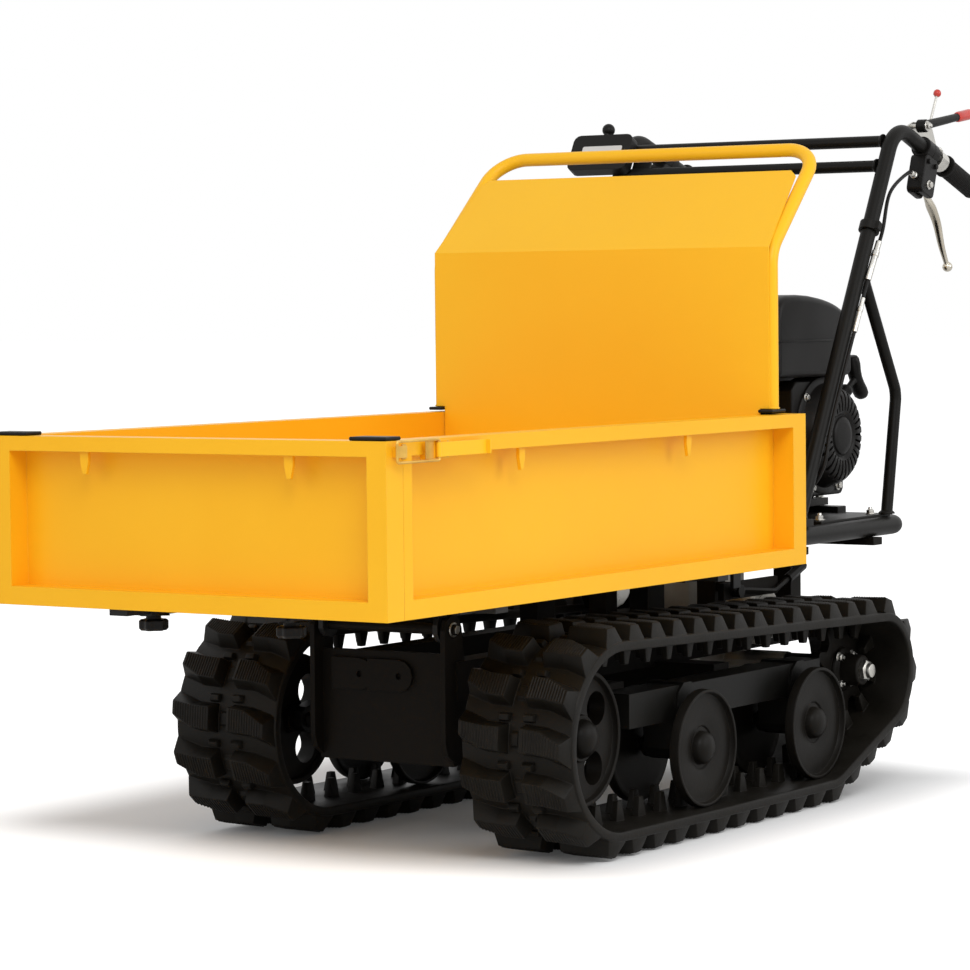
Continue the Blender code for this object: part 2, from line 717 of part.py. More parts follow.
def headboard_rail():
    """The round rail behind the sheet's edges, bent over its top as a hand hold."""
    clear = RAIL_RADIUS + BOARD_THICK / 2 + GAP
    back = BOARD_BACK + clear
    side = BOARD_HALF - 0.003
    top_side = BOARD_TOP_HALF + 0.006
    foot = GATE_TOP + CAP_THICK + 0.003 + GAP
    lean = math.atan2(RAIL_TOP_BACK - back, RAIL_TOP_Z - BOARD_KINK_Z)
    kink_z = BOARD_KINK_Z - clear * math.tan(lean / 2)
    start = at(side, back, foot)
    kink = at(side, back, kink_z)
    top = at(top_side, RAIL_TOP_BACK, RAIL_TOP_Z)
    points = [start, kink, top]
    points += [Vector((-p.x, p.y, p.z)) for p in reversed(points)]
    path = rounded_path(points, RAIL_BEND, 4)
    part("headboard_rail", YELLOW, tube(path, RAIL_RADIUS), at(0, HINGE_BACK, HINGE_Z))
    for sign, name in ((1, "rail_foot_cap_left"), (-1, "rail_foot_cap_right")):
        low = (sign * side - 0.0125, back - 0.022, GATE_TOP + 0.003)
        high = (sign * side + 0.0125, back + 0.022, foot - GAP)
        cap = bevelled(box(low, high), 0.0015)
        part(name, PLASTIC, cap, at(0, HINGE_BACK, HINGE_Z))


def corner_caps():
    """Plastic caps on the tops of the front gate's ends."""
    half = TRAY_WIDTH / 2
    low = (half - CAP_LENGTH, 0.001, GATE_TOP + GAP)
    high = (half - 0.001, GATE_THICK - 0.001, GATE_TOP + GAP + CAP_THICK)
    left = part("corner_cap_left", PLASTIC, bevelled(box(low, high), 0.0015), at(0, 0, GATE_TOP))
    mirrored(left, "corner_cap_right")


def clamp_knobs():
    """Screws with round knobs that clamp the front gate's slide bars."""
    seat = FLOOR_BOTTOM - BAR_HEIGHT - 2 * GAP - SLEEVE_WALL
    top = seat - GAP
    profile = [(0, 0), (0.011, 0), (0.011, -0.004), (0.017, -0.006), (KNOB_RADIUS, -0.009),
               (KNOB_RADIUS, -KNOB_HEIGHT - 0.002), (0.016, -KNOB_HEIGHT - 0.005), (0, -KNOB_HEIGHT - 0.005)]
    for sign, name in ((1, "clamp_knob_left"), (-1, "clamp_knob_right")):
        place = at(sign * FRONT_BAR_X, KNOB_BACK, top)
        part(name, PLASTIC, turned(profile, place, "Z", 10), place)


# Tracks

def tangent_angle(first, second):
    """The direction, seen from each centre, of the outer line that touches both circles."""
    (u1, v1, r1), (u2, v2, r2) = first, second
    away = math.atan2(v2 - v1, u2 - u1)
    return away + math.acos((r1 - r2) / math.hypot(u2 - u1, v2 - v1))


def belt_circles(grow):
    """The circles that the belt lies on, in order, grown by a distance outwards."""
    front_roller, rear_roller = ROLLER_BACKS
    return [
        (IDLER_BACK, IDLER_Z, IDLER_RADIUS + GAP + HORN_HEIGHT + grow),
        (SPROCKET_BACK, SPROCKET_Z, BELT_AT_SPROCKET + grow),
        (rear_roller, ROLLER_Z, ROLLER_RADIUS + GAP + grow),
        (front_roller, ROLLER_Z, ROLLER_RADIUS + GAP + grow),
    ]


def belt_stretches(grow=0.0):
    """The belt's path as arcs (centre, radius, start angle, end angle), running over the top first."""
    circles = belt_circles(grow)
    count = len(circles)
    leaving = [tangent_angle(circles[i], circles[(i + 1) % count]) for i in range(count)]
    arcs = []
    for i, (u, v, radius) in enumerate(circles):
        start = leaving[i - 1]
        end = leaving[i]
        while end > start:
            end -= 2 * math.pi
        while end < start - 2 * math.pi:
            end += 2 * math.pi
        arcs.append((u, v, radius, start, end))
    return arcs


def belt_outline(grow):
    """The belt's loop; its inner face meets the wheels with its flats and not with its corners."""
    points = []
    for u, v, radius, start, end in belt_stretches(grow):
        count = max(2, math.ceil((start - end) / BELT_ARC_STEP))
        if grow > 0:
            points += arc_points(u, v, radius, start, end, (start - end) / count)
            continue
        half = (start - end) / count / 2
        outside = radius / math.cos(half)
        for i in range(count):
            turn = start - (2 * i + 1) * half
            points.append((u + outside * math.cos(turn), v + outside * math.sin(turn)))
    return points


def belt_length():
    arcs = belt_stretches()
    total = 0.0
    for i, (u, v, radius, start, end) in enumerate(arcs):
        nu, nv, next_radius, next_start, next_end = arcs[(i + 1) % len(arcs)]
        leave = Vector((u + radius * math.cos(end), v + radius * math.sin(end)))
        meet = Vector((nu + next_radius * math.cos(next_start), nv + next_radius * math.sin(next_start)))
        total += radius * (start - end) + (meet - leave).length
    return total


def belt_station(distance):
    """The belt's inner face at a distance along it: place, and the angle of its outward normal."""
    arcs = belt_stretches()
    for i, (u, v, radius, start, end) in enumerate(arcs):
        length = radius * (start - end)
        if distance <= length:
            angle = start - distance / radius
            return u + radius * math.cos(angle), v + radius * math.sin(angle), angle
        distance -= length
        nu, nv, next_radius, next_start, next_end = arcs[(i + 1) % len(arcs)]
        leave = Vector((u + radius * math.cos(end), v + radius * math.sin(end)))
        meet = Vector((nu + next_radius * math.cos(next_start), nv + next_radius * math.sin(next_start)))
        straight = (meet - leave).length
        if distance <= straight:
            place = leave.lerp(meet, distance / straight)
            return place.x, place.y, end
        distance -= straight
    return belt_station(distance)


def wedge(corners_base, corners_top, low, high, matrix):
    """A block whose foot and crown outlines differ, made by moving a cube's corners."""
    bm = bmesh.new()
    bmesh.ops.create_cube(bm, size=2.0)
    order = {(-1, -1): 0, (1, -1): 1, (1, 1): 2, (-1, 1): 3}
    for vertex in bm.verts:
        corner = order[(round(vertex.co.x), round(vertex.co.y))]
        ring = corners_top if vertex.co.z > 0 else corners_base
        u, v = ring[corner]
        vertex.co = (u, v, high if vertex.co.z > 0 else low)
    return shape_from_bmesh(bm, matrix)


def track_lug(matrix, side):
    """One half of a tread bar; side is 1 for the half towards the machine's left.

    Both halves slant the same way, and each flares out at its foot along the belt's edge.
    """
    foot = []
    crown = []
    for place, end in ((0, -1), (1, -1), (1, 1), (0, 1)):
        slant = -side * LUG_SLANT * place
        foot_across = (LUG_INNER, LUG_OUTER)[place][0]
        crown_across = (LUG_INNER, LUG_OUTER)[place][1]
        foot.append((side * foot_across, end * LUG_FOOT[place] / 2 + slant))
        crown.append((side * crown_across, end * LUG_CROWN[place] / 2 + slant))
    if side < 0:
        foot = [foot[1], foot[0], foot[3], foot[2]]
        crown = [crown[1], crown[0], crown[3], crown[2]]
    return wedge(foot, crown, BELT_THICK - LUG_SINK, BELT_THICK + LUG_HEIGHT, matrix)


def guide_horn(matrix, side):
    """A guide horn on the belt's inner face, which keeps the belt between the wheel discs."""
    foot = []
    crown = []
    for across, end in ((-1, -1), (1, -1), (1, 1), (-1, 1)):
        half_across = across * HORN_THICK / 2
        half_along = end * HORN_LENGTH / 2
        foot.append((side * HORN_OFFSET + half_across, half_along))
        crown.append((side * HORN_OFFSET + half_across * HORN_TOP_SHARE[0], half_along * HORN_TOP_SHARE[1]))
    return wedge(crown, foot, -HORN_HEIGHT, 0.004, matrix)


def track_belt():
    """The rubber belt: a closed carcass with slanting tread bars outside and guide horns inside."""
    carcass = plate(belt_outline(BELT_THICK), BELT_WIDTH, at(TRACK_X, 0, 0), "YZ", [belt_outline(0.0)])
    length = belt_length()
    links = round(length / LINK_PITCH)
    blocks = []
    for i in range(links):
        u, v, angle = belt_station(length * (i + 0.5) / links)
        normal = Vector((0, math.cos(angle), math.sin(angle)))
        across = Vector((1, 0, 0))
        along = normal.cross(across)
        place = Matrix.Translation(at(TRACK_X, u, v)) @ Matrix((across, along, normal)).transposed().to_4x4()
        blocks += [track_lug(place, 1), track_lug(place, -1), guide_horn(place, 1), guide_horn(place, -1)]
    belt = joined(carcass, gathered(blocks))
    left = part("track_belt_left", RUBBER, belt, at(TRACK_X, (IDLER_BACK + SPROCKET_BACK) / 2, SPROCKET_Z))
    repeated(left, "track_belt_right")


def dished_disc(side, back, z, radius, hub_radius, rim):
    """A wheel disc with a rim, a dished web and a domed hub, turned about the axle."""
    half = DISC_THICK / 2
    profile = [
        (0, half + 0.006), (hub_radius * 0.8, half + 0.002), (hub_radius, 0.0),
        (radius - rim, 0.0), (radius - rim + 0.001, half), (radius, half), (radius, -half), (0, -half),
    ]
    if side < 0:
        profile = [(r, -h) for r, h in reversed(profile)]
    return turned(profile, at(TRACK_X + side * DISC_OFFSET, back, z), "X", WHEEL_STEPS)


def wheel_pair(back, z, radius, hub_radius, rim):
    """Two discs on one axle, either side of the guide horns and the track beam."""
    discs = [dished_disc(side, back, z, radius, hub_radius, rim) for side in (1, -1)]
    axle = cylinder(at(TRACK_X, back, z), AXLE_RADIUS, 2 * DISC_OFFSET, "X", 8)
    return joined(gathered(discs), axle)


def rollers():
    for place, back in zip(("front", "rear"), ROLLER_BACKS):
        wheel = wheel_pair(back, ROLLER_Z, ROLLER_RADIUS, 0.030, 0.006)
        left = part(f"roller_{place}_left", WHEEL, wheel, at(TRACK_X, back, ROLLER_Z))
        mirrored(left, f"roller_{place}_right")


def idlers():
    """Front wheels that run on the horns' tips, with four round holes about a domed hub."""
    half = IDLER_HALF_WIDTH
    outer_web, inner_web = IDLER_WEB
    centre = at(TRACK_X, IDLER_BACK, IDLER_Z)
    wheel = turned([
        (0, half + 0.016), (0.019, half + 0.013), (0.027, half + 0.004), (0.027, half - 0.004),
        (IDLER_HUB_RADIUS, half - 0.004), (IDLER_HUB_RADIUS, outer_web), (IDLER_RADIUS - 0.007, outer_web),
        (IDLER_RADIUS - 0.005, half), (IDLER_RADIUS, half), (IDLER_RADIUS, -half), (IDLER_RADIUS - 0.008, -half),
        (IDLER_RADIUS - 0.008, inner_web), (0.020, inner_web), (0.020, -half), (AXLE_RADIUS, -half),
        (AXLE_RADIUS, -half - IDLER_ARM_THICK - 0.004), (0, -half - IDLER_ARM_THICK - 0.004),
    ], centre, "X", 20)
    holes = []
    for i in range(4):
        turn = math.radians(90 * i + 39)
        aside = Vector((0, math.cos(turn), math.sin(turn))) * IDLER_HOLE_OFFSET
        holes.append(cylinder(centre + aside, IDLER_HOLE_RADIUS, 4 * half, "X", 12))
    left = part("idler_left", WHEEL, cut(wheel, gathered(holes)), centre)
    mirrored(left, "idler_right")


def sprockets():
    """Toothed drive wheels that run in the channel between the belt's guide horns."""
    tip = BELT_AT_SPROCKET - TOOTH_CLEARANCE
    root = tip - 0.022
    outline = []
    for i in range(SPROCKET_TEETH):
        middle = 2 * math.pi * i / SPROCKET_TEETH
        pitch = 2 * math.pi / SPROCKET_TEETH
        for share, radius in ((-0.36, root), (-0.12, tip), (0.12, tip), (0.36, root)):
            turn = middle + share * pitch
            outline.append((radius * math.cos(turn), radius * math.sin(turn)))
    centre = at(TRACK_X, SPROCKET_BACK, SPROCKET_Z)
    toothed = plate(outline, SPROCKET_THICK, centre, "YZ")
    inner_end = -(TRACK_X - SPROCKET_HUB_X)
    hub = turned([
        (0, 0.068), (0.012, 0.068), (0.012, 0.056), (0.030, 0.056), (0.030, 0.048),
        (0.022, 0.046), (0.022, inner_end), (0, inner_end),
    ], centre, "X", 12)
    wheel = joined(toothed, hub)
    left = part("sprocket_left", WHEEL, wheel, centre)
    mirrored(left, "sprocket_right")


def axle_block(back, z, foot, crown):
    """A block as wide as the beam, with a hole for an axle.

    foot and crown are circles (distance back, height, radius) about the axle's centre.
    """
    hole = bore_points(0, 0, AXLE_RADIUS + AXLE_CLEARANCE)
    return plate(hull_outline(foot, crown), 2 * BEAM_HALF + 0.010, at(TRACK_X, back, z), "YZ", [hole])


def track_frame():
    """The beam inside each belt, with hangers for the roller axles and an arm beside the idler."""
    front = IDLER_BACK + IDLER_RADIUS + 0.020
    rear = SPROCKET_BACK - BELT_AT_SPROCKET - 0.028
    low = BEAM_Z - BEAM_HEIGHT / 2
    high = BEAM_Z + BEAM_HEIGHT / 2
    beam = box((TRACK_X - BEAM_HALF, front, low), (TRACK_X + BEAM_HALF, rear, high))
    hanger_foot = (0, BEAM_Z - ROLLER_Z, 0.030)
    hangers = [axle_block(back, ROLLER_Z, (0, 0, 0.020), hanger_foot) for back in ROLLER_BACKS]
    # The idler's arm stands beside the wheel, on the machine's side
    arm_x = TRACK_X - IDLER_HALF_WIDTH - 0.0005 - IDLER_ARM_THICK / 2
    reach = front + 0.004 - IDLER_BACK
    outline = hull_outline((0, 0, 0.019), (reach, BEAM_Z - IDLER_Z, 0.018))
    hole = bore_points(0, 0, AXLE_RADIUS + AXLE_CLEARANCE)
    arm = plate(outline, IDLER_ARM_THICK, at(arm_x, IDLER_BACK, IDLER_Z), "YZ", [hole])
    left = part("track_frame_left", BLACK, joined(beam, *hangers, arm), at(TRACK_X, front, BEAM_Z))
    mirrored(left, "track_frame_right")


# Chassis

def chassis_frame():
    half = RAIL_SIZE / 2
    rail_low = CHASSIS_RAIL_Z - CHASSIS_RAIL_HEIGHT / 2
    rail_high = CHASSIS_RAIL_Z + CHASSIS_RAIL_HEIGHT / 2
    plate_back = EAR_FOOT_BACK - 0.008
    rails = [
        box((sign * RAIL_X - half, plate_back + 0.004, rail_low),
            (sign * RAIL_X + half, CHASSIS_RAIL_END, rail_high))
        for sign in (-1, 1)
    ]
    plate_low, plate_high = FRONT_PLATE_Z
    face = box((-EAR_X - 0.002, plate_back, plate_low), (EAR_X + 0.002, plate_back + FRONT_PLATE_THICK, plate_high))
    shelf = box((-EAR_X + 0.004, plate_back + 0.004, plate_low),
                (EAR_X - 0.004, plate_back + 0.10, plate_low + 0.008))
    ears = []
    for sign in (-1, 1):
        outline = hull_outline(
            (EAR_FOOT_BACK - HINGE_BACK, EAR_FOOT_Z - HINGE_Z, EAR_FOOT_RADIUS),
            (0, 0, 0.021),
        )
        ears.append(plate(outline, EAR_THICK, at(sign * EAR_X, HINGE_BACK, HINGE_Z), "YZ"))
    pin = cylinder(at(0, HINGE_BACK, HINGE_Z), HINGE_PIN_RADIUS, 2 * EAR_X + 0.022, "X", 12)
    lugs = []
    for low_x, hole_x, length in ((-0.090, -0.042, 0.060), (-0.028, 0.026, 0.066)):
        outline = [(low_x, -0.023), (hole_x, -0.023)]
        outline += arc_points(hole_x, 0, 0.023, -math.pi / 2, math.pi / 2, math.radians(30))
        outline += [(low_x, 0.023)]
        hole = circle_points(hole_x, 0, 0.005, 8)
        lugs.append(plate(outline, 0.006, at(0, plate_back - 0.0025, 0.249), "XZ", [hole]))
    reach = TRACK_X - BEAM_HALF - GAP
    cross = [
        box((-reach, back - CROSS_BEAM_SIZE / 2, BEAM_Z - CROSS_BEAM_SIZE / 2),
            (reach, back + CROSS_BEAM_SIZE / 2, BEAM_Z + CROSS_BEAM_SIZE / 2 + 0.012))
        for back in CROSS_BEAM_BACKS
    ]
    rest_top = CHANNEL_BOTTOM - GAP
    rests = [
        box((sign * CHANNEL_X - 0.016, 0.985, rail_high - 0.002), (sign * CHANNEL_X + 0.016, 1.035, rest_top))
        for sign in (-1, 1)
    ]
    # Uprights that carry the engine deck, behind the tray, with a tie across each pair
    deck_low = DECK_TUBE_Z - DECK_TUBE_RADIUS - GAP
    tie_half = DECK_TUBE_X + UPRIGHT_HALF
    uprights = []
    ties = []
    for back in UPRIGHT_BACKS:
        ties.append(box((-tie_half, back + 0.002, deck_low - 0.012),
                        (tie_half, back + UPRIGHT_LENGTH - 0.002, deck_low)))
        for sign in (-1, 1):
            uprights.append(box((sign * RAIL_X - UPRIGHT_HALF, back, rail_high - 0.002),
                                (sign * RAIL_X + UPRIGHT_HALF, back + UPRIGHT_LENGTH, deck_low - 0.004)))
    rear_tie = box((-RAIL_X - 0.01, CHASSIS_RAIL_END - 0.012, rail_low + 0.004),
                   (RAIL_X + 0.01, CHASSIS_RAIL_END - 0.004, rail_high - 0.004))
    bracket = box((LOCK_BRACKET_X[0], 1.045, 0.317), (LOCK_BRACKET_X[1], 1.215, 0.343))
    arm = box((RAIL_X, 1.196, 0.317), (LOCK_BRACKET_X[1] - 0.003, 1.214, 0.331))
    frame = joined(face, shelf, *rails, *ears, pin, *lugs, *cross, *rests, *uprights, *ties, rear_tie, arm, bracket)
    part("chassis_frame", BLACK, frame, at(0, HINGE_BACK, 0.2))


def tip_lock():
    """The hand lever that holds the tray down by the catch at its rear corner."""
    pivot = at(LOCK_ROD_X, LOCK_PIVOT_BACK, LOCK_PIVOT_Z)
    rod = tube(rounded_path([
        pivot + Vector((0, -0.018, 0.004)), pivot + Vector((0, 0.115, -0.008)), pivot + Vector((0, 0.160, 0.008)),
    ], 0.03, 2), LOCK_ROD_RADIUS, 1)
    boss_length = 2 * (LOCK_ROD_X - LOCK_BRACKET_X[1] - GAP)
    boss = cylinder(pivot, 0.010, boss_length, "X", 12)
    grip = tube([pivot + Vector((0, 0.158, 0.0075)), pivot + Vector((0, 0.208, 0.026))], 0.0080, 2)
    part("tip_lock_lever", BLACK, joined(boss, rod, grip), pivot)


def transaxle():
    """Gearbox between the rails, with an axle tube to each sprocket and a cover outside the left rail."""
    case_half = RAIL_X - RAIL_SIZE / 2 - 0.025
    boss_x = -case_half - 0.005
    case = bevelled(box((-case_half, 1.235, 0.135), (case_half, 1.405, 0.355)), 0.012)
    axle = cylinder(at(0, SPROCKET_BACK, SPROCKET_Z), 0.024, 2 * (SPROCKET_HUB_X - GAP), "X", 16)
    boss = cylinder(at(boss_x, GEARBOX_BACK, GEARBOX_Z), 0.026, 0.030, "X", 16)
    shaft_end = BELT_LINE_X - PULLEY_WIDTH / 2 - 0.003
    shaft_at = at((shaft_end + boss_x) / 2, GEARBOX_BACK, GEARBOX_Z)
    shaft = cylinder(shaft_at, INPUT_SHAFT_RADIUS, boss_x - shaft_end, "X", 12)
    rail_face = RAIL_X + RAIL_SIZE / 2 + GAP
    cover = turned([
        (0, 0.018), (COVER_RADIUS - 0.004, 0.018), (COVER_RADIUS, 0.013), (COVER_RADIUS, 0.0), (0, 0.0),
    ], at(rail_face, GEARBOX_BACK + 0.012, COVER_Z), "X", 20)
    neck_at = at((rail_face + case_half) / 2, GEARBOX_BACK + 0.012, COVER_Z + 0.0205)
    neck = cylinder(neck_at, 0.0185, rail_face - case_half + 0.010, "X", 12)
    part("transaxle", CAST, joined(case, axle, boss, shaft, neck, cover), at(0, SPROCKET_BACK, SPROCKET_Z))


# Engine deck, engine and belt drive

def engine_deck():
    """A bent tube loop that carries the engine plate and guards the rear."""
    path = rounded_path([
        at(DECK_TUBE_X, DECK_FRONT, DECK_TUBE_Z), at(DECK_TUBE_X, DECK_REAR - DECK_TUBE_RADIUS, DECK_TUBE_Z),
        at(-DECK_TUBE_X, DECK_REAR - DECK_TUBE_RADIUS, DECK_TUBE_Z), at(-DECK_TUBE_X, DECK_FRONT, DECK_TUBE_Z),
    ], DECK_BEND, 4)
    loop = tube(path, DECK_TUBE_RADIUS)
    deck = box((-DECK_TUBE_X + 0.003, 1.300, DECK_TOP - 0.009), (DECK_TUBE_X - 0.003, DECK_REAR - 0.060, DECK_TOP))
    slot_half = GUARD_DEPTH / 2 + 0.004
    slot = box((BELT_LINE_X - slot_half, 1.240, DECK_TOP - 0.02), (BELT_LINE_X + slot_half, 1.462, DECK_TOP + 0.01))
    runners = [
        box((-0.035, back, DECK_TOP - 0.002), (0.165, back + 0.030, ENGINE_BASE_Z - GAP)) for back in (1.345, 1.512)
    ]
    part("engine_deck", BLACK, joined(loop, cut(deck, slot), *runners), at(0, 1.4, DECK_TUBE_Z))


def engine():
    """Crankcase, slanting finned cylinder, recoil housing, tank, air cleaner and silencer."""
    left = 0.125
    right = -0.055
    crank = at(0, CRANK_BACK, CRANK_Z)
    body = box((right, CRANK_BACK - 0.072, ENGINE_BASE_Z + 0.004), (left, CRANK_BACK + 0.072, CRANK_Z + 0.062))
    body = bevelled(body, 0.016)
    foot = box((right - 0.005, CRANK_BACK - 0.10, ENGINE_BASE_Z),
               (left + 0.005, CRANK_BACK + 0.085, ENGINE_BASE_Z + 0.012))
    side = cylinder(crank + Vector((right - 0.006, 0, 0)), 0.062, 0.03, "X", 20)
    shaft_end = BELT_LINE_X - PULLEY_WIDTH / 2 - 0.003
    shaft = cylinder(crank + Vector(((shaft_end + right) / 2, 0, 0)), SHAFT_RADIUS, right - shaft_end, "X", 12)
    # The cylinder leans forward from a boss, with cooling fins square to its bore
    bore = Matrix.Translation(crank + Vector((0.035, 0, 0.004))) @ Matrix.Rotation(BORE_LEAN, 4, "X")
    boss = block((0.098, 0.084, BOSS_END), bore @ Matrix.Translation((0, 0, BOSS_END / 2)))
    part("crankcase", CAST, joined(body, foot, side, shaft, boss), crank)
    start = BOSS_END + GAP
    finned = FIN_COUNT * FIN_PITCH
    barrel = block((0.094, 0.076, finned), bore @ Matrix.Translation((0, 0, start + finned / 2)))
    fins = [
        block((0.124, 0.092, FIN_PITCH * 0.4), bore @ Matrix.Translation((0, 0, start + FIN_PITCH * (i + 0.35))))
        for i in range(FIN_COUNT)
    ]
    head = block((0.088, 0.066, 0.022), bore @ Matrix.Translation((0, 0, start + finned + 0.010)))
    part("cylinder", CAST, joined(barrel, *fins, head), crank)

    # Recoil housing: a moulded drum with radial slots round a bare boss
    face = ENGINE_LEFT
    depth = face - left - 2 * GAP
    drum = turned([
        (0, depth - 0.003), (0.036, depth - 0.003), (0.040, depth), (0.066, depth - 0.003), (0.076, depth - 0.012),
        (0.084, depth - 0.030), (RECOIL_RADIUS, depth - 0.036), (RECOIL_RADIUS, 0.0), (0, 0.0),
    ], at(left + 2 * GAP, CRANK_BACK, CRANK_Z), "X", 20)
    slots = []
    for i in range(SLOT_COUNT):
        turn = 2 * math.pi * i / SLOT_COUNT
        place = crank + Vector((face - 0.003, 0.058 * math.cos(turn), 0.058 * math.sin(turn)))
        slots.append(block((0.03, 0.026, 0.0075), Matrix.Translation(place) @ Matrix.Rotation(turn, 4, "X")))
    skirt = box((left + 2 * GAP, CRANK_BACK - 0.092, ENGINE_BASE_Z + 0.020),
                (left + 0.042, CRANK_BACK + 0.070, CRANK_Z - 0.010))
    skirt = bevelled(skirt, 0.010)
    cowl = box((left + 2 * GAP, CRANK_BACK - 0.102, CRANK_Z),
               (left + 0.040, CRANK_BACK + 0.020, CRANK_Z + 0.090))
    cowl = bevelled(cowl, 0.012)
    guide_place = Matrix.Translation(rope_point(0.0)) @ Matrix.Rotation(-ROPE_RISE, 4, "X")
    guide = cylinder(Vector((0, 0, 0)), 0.010, 0.050, "Y", 14)
    guide.data.transform(guide_place)
    housing = cut(joined(drum, skirt, cowl, guide), gathered(slots))
    part("recoil_housing", PLASTIC, housing, crank)


def fuel_tank():
    """The tank over the crankcase, with a domed top and a filler neck."""
    low = CRANK_Z + 0.096
    outline = []
    front = CRANK_BACK - 0.185
    rear = CRANK_BACK + 0.066
    outline += [(front, low), (rear, low)]
    outline += arc_points(rear - 0.070, low + 0.062, 0.070, 0, math.pi / 2, math.radians(18))
    outline += [(front + 0.040, low + 0.132), (front, low + 0.095)]
    left = ENGINE_LEFT - 0.018
    right = -0.035
    body = plate(outline, left - right, at((left + right) / 2, 0, 0), "YZ")
    body = bevelled(body, 0.010, 2)
    neck_at = at(0.085, CRANK_BACK - 0.070, 0)
    neck = cylinder(neck_at + Vector((0, 0, low + 0.130)), 0.022, 0.018, "Z", 20)
    foot = box((0.02, CRANK_BACK - 0.05, CRANK_Z + 0.0626), (0.10, CRANK_BACK + 0.04, low + 0.002))
    part("fuel_tank", PLASTIC, joined(body, neck, foot), at(0, CRANK_BACK, low))
    seat = low + 0.139 + GAP
    cap = turned([
        (0, 0.018), (0.022, 0.018), (0.027, 0.014), (0.028, 0.0), (0, 0.0),
    ], neck_at + Vector((0, 0, seat)), "Z", 16)
    part("fuel_cap", PLASTIC, cap, neck_at + Vector((0, 0, seat)))


def engine_fittings():
    front = CRANK_BACK - 0.172
    cleaner = box((-0.150, CRANK_BACK - 0.100, CRANK_Z + 0.110), (-0.0365, CRANK_BACK + 0.050, CRANK_Z + 0.205))
    cleaner = bevelled(cleaner, 0.014)
    elbow = box((-0.0548, CRANK_BACK - 0.045, CRANK_Z + 0.062 + GAP),
                (-0.0366, CRANK_BACK - 0.005, CRANK_Z + 0.116))
    part("air_cleaner", PLASTIC, joined(cleaner, elbow), at(-0.09, CRANK_BACK, CRANK_Z + 0.15))
    muffler = bevelled(box((-0.150, front, CRANK_Z), (-0.030, front + 0.090, CRANK_Z + 0.105)), 0.016)
    pipe = cylinder(at(-0.148, front + 0.03, CRANK_Z + 0.06), 0.011, 0.03, "X", 14)
    flange = box((-0.034, front + 0.018, CRANK_Z + 0.020), (-0.027 - GAP, front + 0.072, CRANK_Z + 0.060))
    part("muffler", BLACK, joined(muffler, pipe, flange), at(-0.09, front, CRANK_Z))


def grooved_pulley(centre, radius, bore):
    half = PULLEY_WIDTH / 2
    groove = DRIVE_BELT_THICK + 0.002
    profile = [
        (bore, half), (radius, half), (radius - groove, DRIVE_BELT_WIDTH / 2 - 0.002),
        (radius - groove, -DRIVE_BELT_WIDTH / 2 + 0.002), (radius, -half), (bore, -half), (bore, half),
    ]
    return turned(profile, centre, "X", 16)


def belt_drive():
    """A V-belt from the crankshaft down to the gearbox input."""
    engine_centre = at(BELT_LINE_X, CRANK_BACK, CRANK_Z)
    gearbox_centre = at(BELT_LINE_X, GEARBOX_BACK, GEARBOX_Z)
    small = grooved_pulley(engine_centre, ENGINE_PULLEY_RADIUS, SHAFT_RADIUS + AXLE_CLEARANCE)
    part("engine_pulley", ZINC, small, engine_centre)
    big = grooved_pulley(gearbox_centre, GEARBOX_PULLEY_RADIUS, INPUT_SHAFT_RADIUS + AXLE_CLEARANCE)
    part("gearbox_pulley", ZINC, big, gearbox_centre)
    groove = DRIVE_BELT_THICK + 0.002
    step = math.radians(30)
    radii = (ENGINE_PULLEY_RADIUS, GEARBOX_PULLEY_RADIUS)
    seats = [(radius - groove + GAP) / math.cos(step / 2) for radius in radii]
    outer, inner = [
        hull_outline((CRANK_BACK, CRANK_Z, seats[0] + extra), (GEARBOX_BACK, GEARBOX_Z, seats[1] + extra), step)
        for extra in (DRIVE_BELT_THICK, 0.0)
    ]
    belt = plate(outer, DRIVE_BELT_WIDTH * 0.6, at(BELT_LINE_X, 0, 0), "YZ", [inner])
    part("drive_belt", RUBBER, belt, at(BELT_LINE_X, CRANK_BACK, CRANK_Z))


def belt_guard():
    """A pressed cover outside the belt, open towards the engine, with a foot on the deck."""
    outer = hull_outline((CRANK_BACK, CRANK_Z, 0.062), (GEARBOX_BACK, GEARBOX_Z, 0.074), math.radians(30))
    inner = hull_outline((CRANK_BACK, CRANK_Z, 0.062 - GUARD_WALL), (GEARBOX_BACK, GEARBOX_Z, 0.074 - GUARD_WALL),
                         math.radians(30))
    shell = plate(outer, GUARD_DEPTH, at(BELT_LINE_X, 0, 0), "YZ")
    hollow = plate(inner, GUARD_DEPTH, at(BELT_LINE_X + GUARD_WALL, 0, 0), "YZ")
    foot = box((BELT_LINE_X - 0.012, 1.449, DECK_TOP + GAP), (BELT_LINE_X + 0.014, 1.488, DECK_TOP + GAP + 0.003))
    part("belt_guard", BLACK, joined(cut(shell, hollow), foot), at(BELT_LINE_X, CRANK_BACK, CRANK_Z))


# Handle frame and controls

def handle_points():
    """The left handle tube's corners, from its foot on the deck loop to the grip's end."""
    end_back = OVERALL_LENGTH - (HANDLE_RADIUS + GRIP_WALL) * math.sin(GRIP_SLOPE)
    foot_z = DECK_TUBE_Z + DECK_TUBE_RADIUS + GAP
    drop = (end_back - HANDLE_BEND_BACK) * math.tan(GRIP_SLOPE)
    return [
        at(HANDLE_X, HANDLE_FOOT_BACK, foot_z),
        at(HANDLE_X, HANDLE_BEND_BACK, HANDLE_BEND_Z),
        at(HANDLE_X, end_back, HANDLE_BEND_Z - drop),
    ]


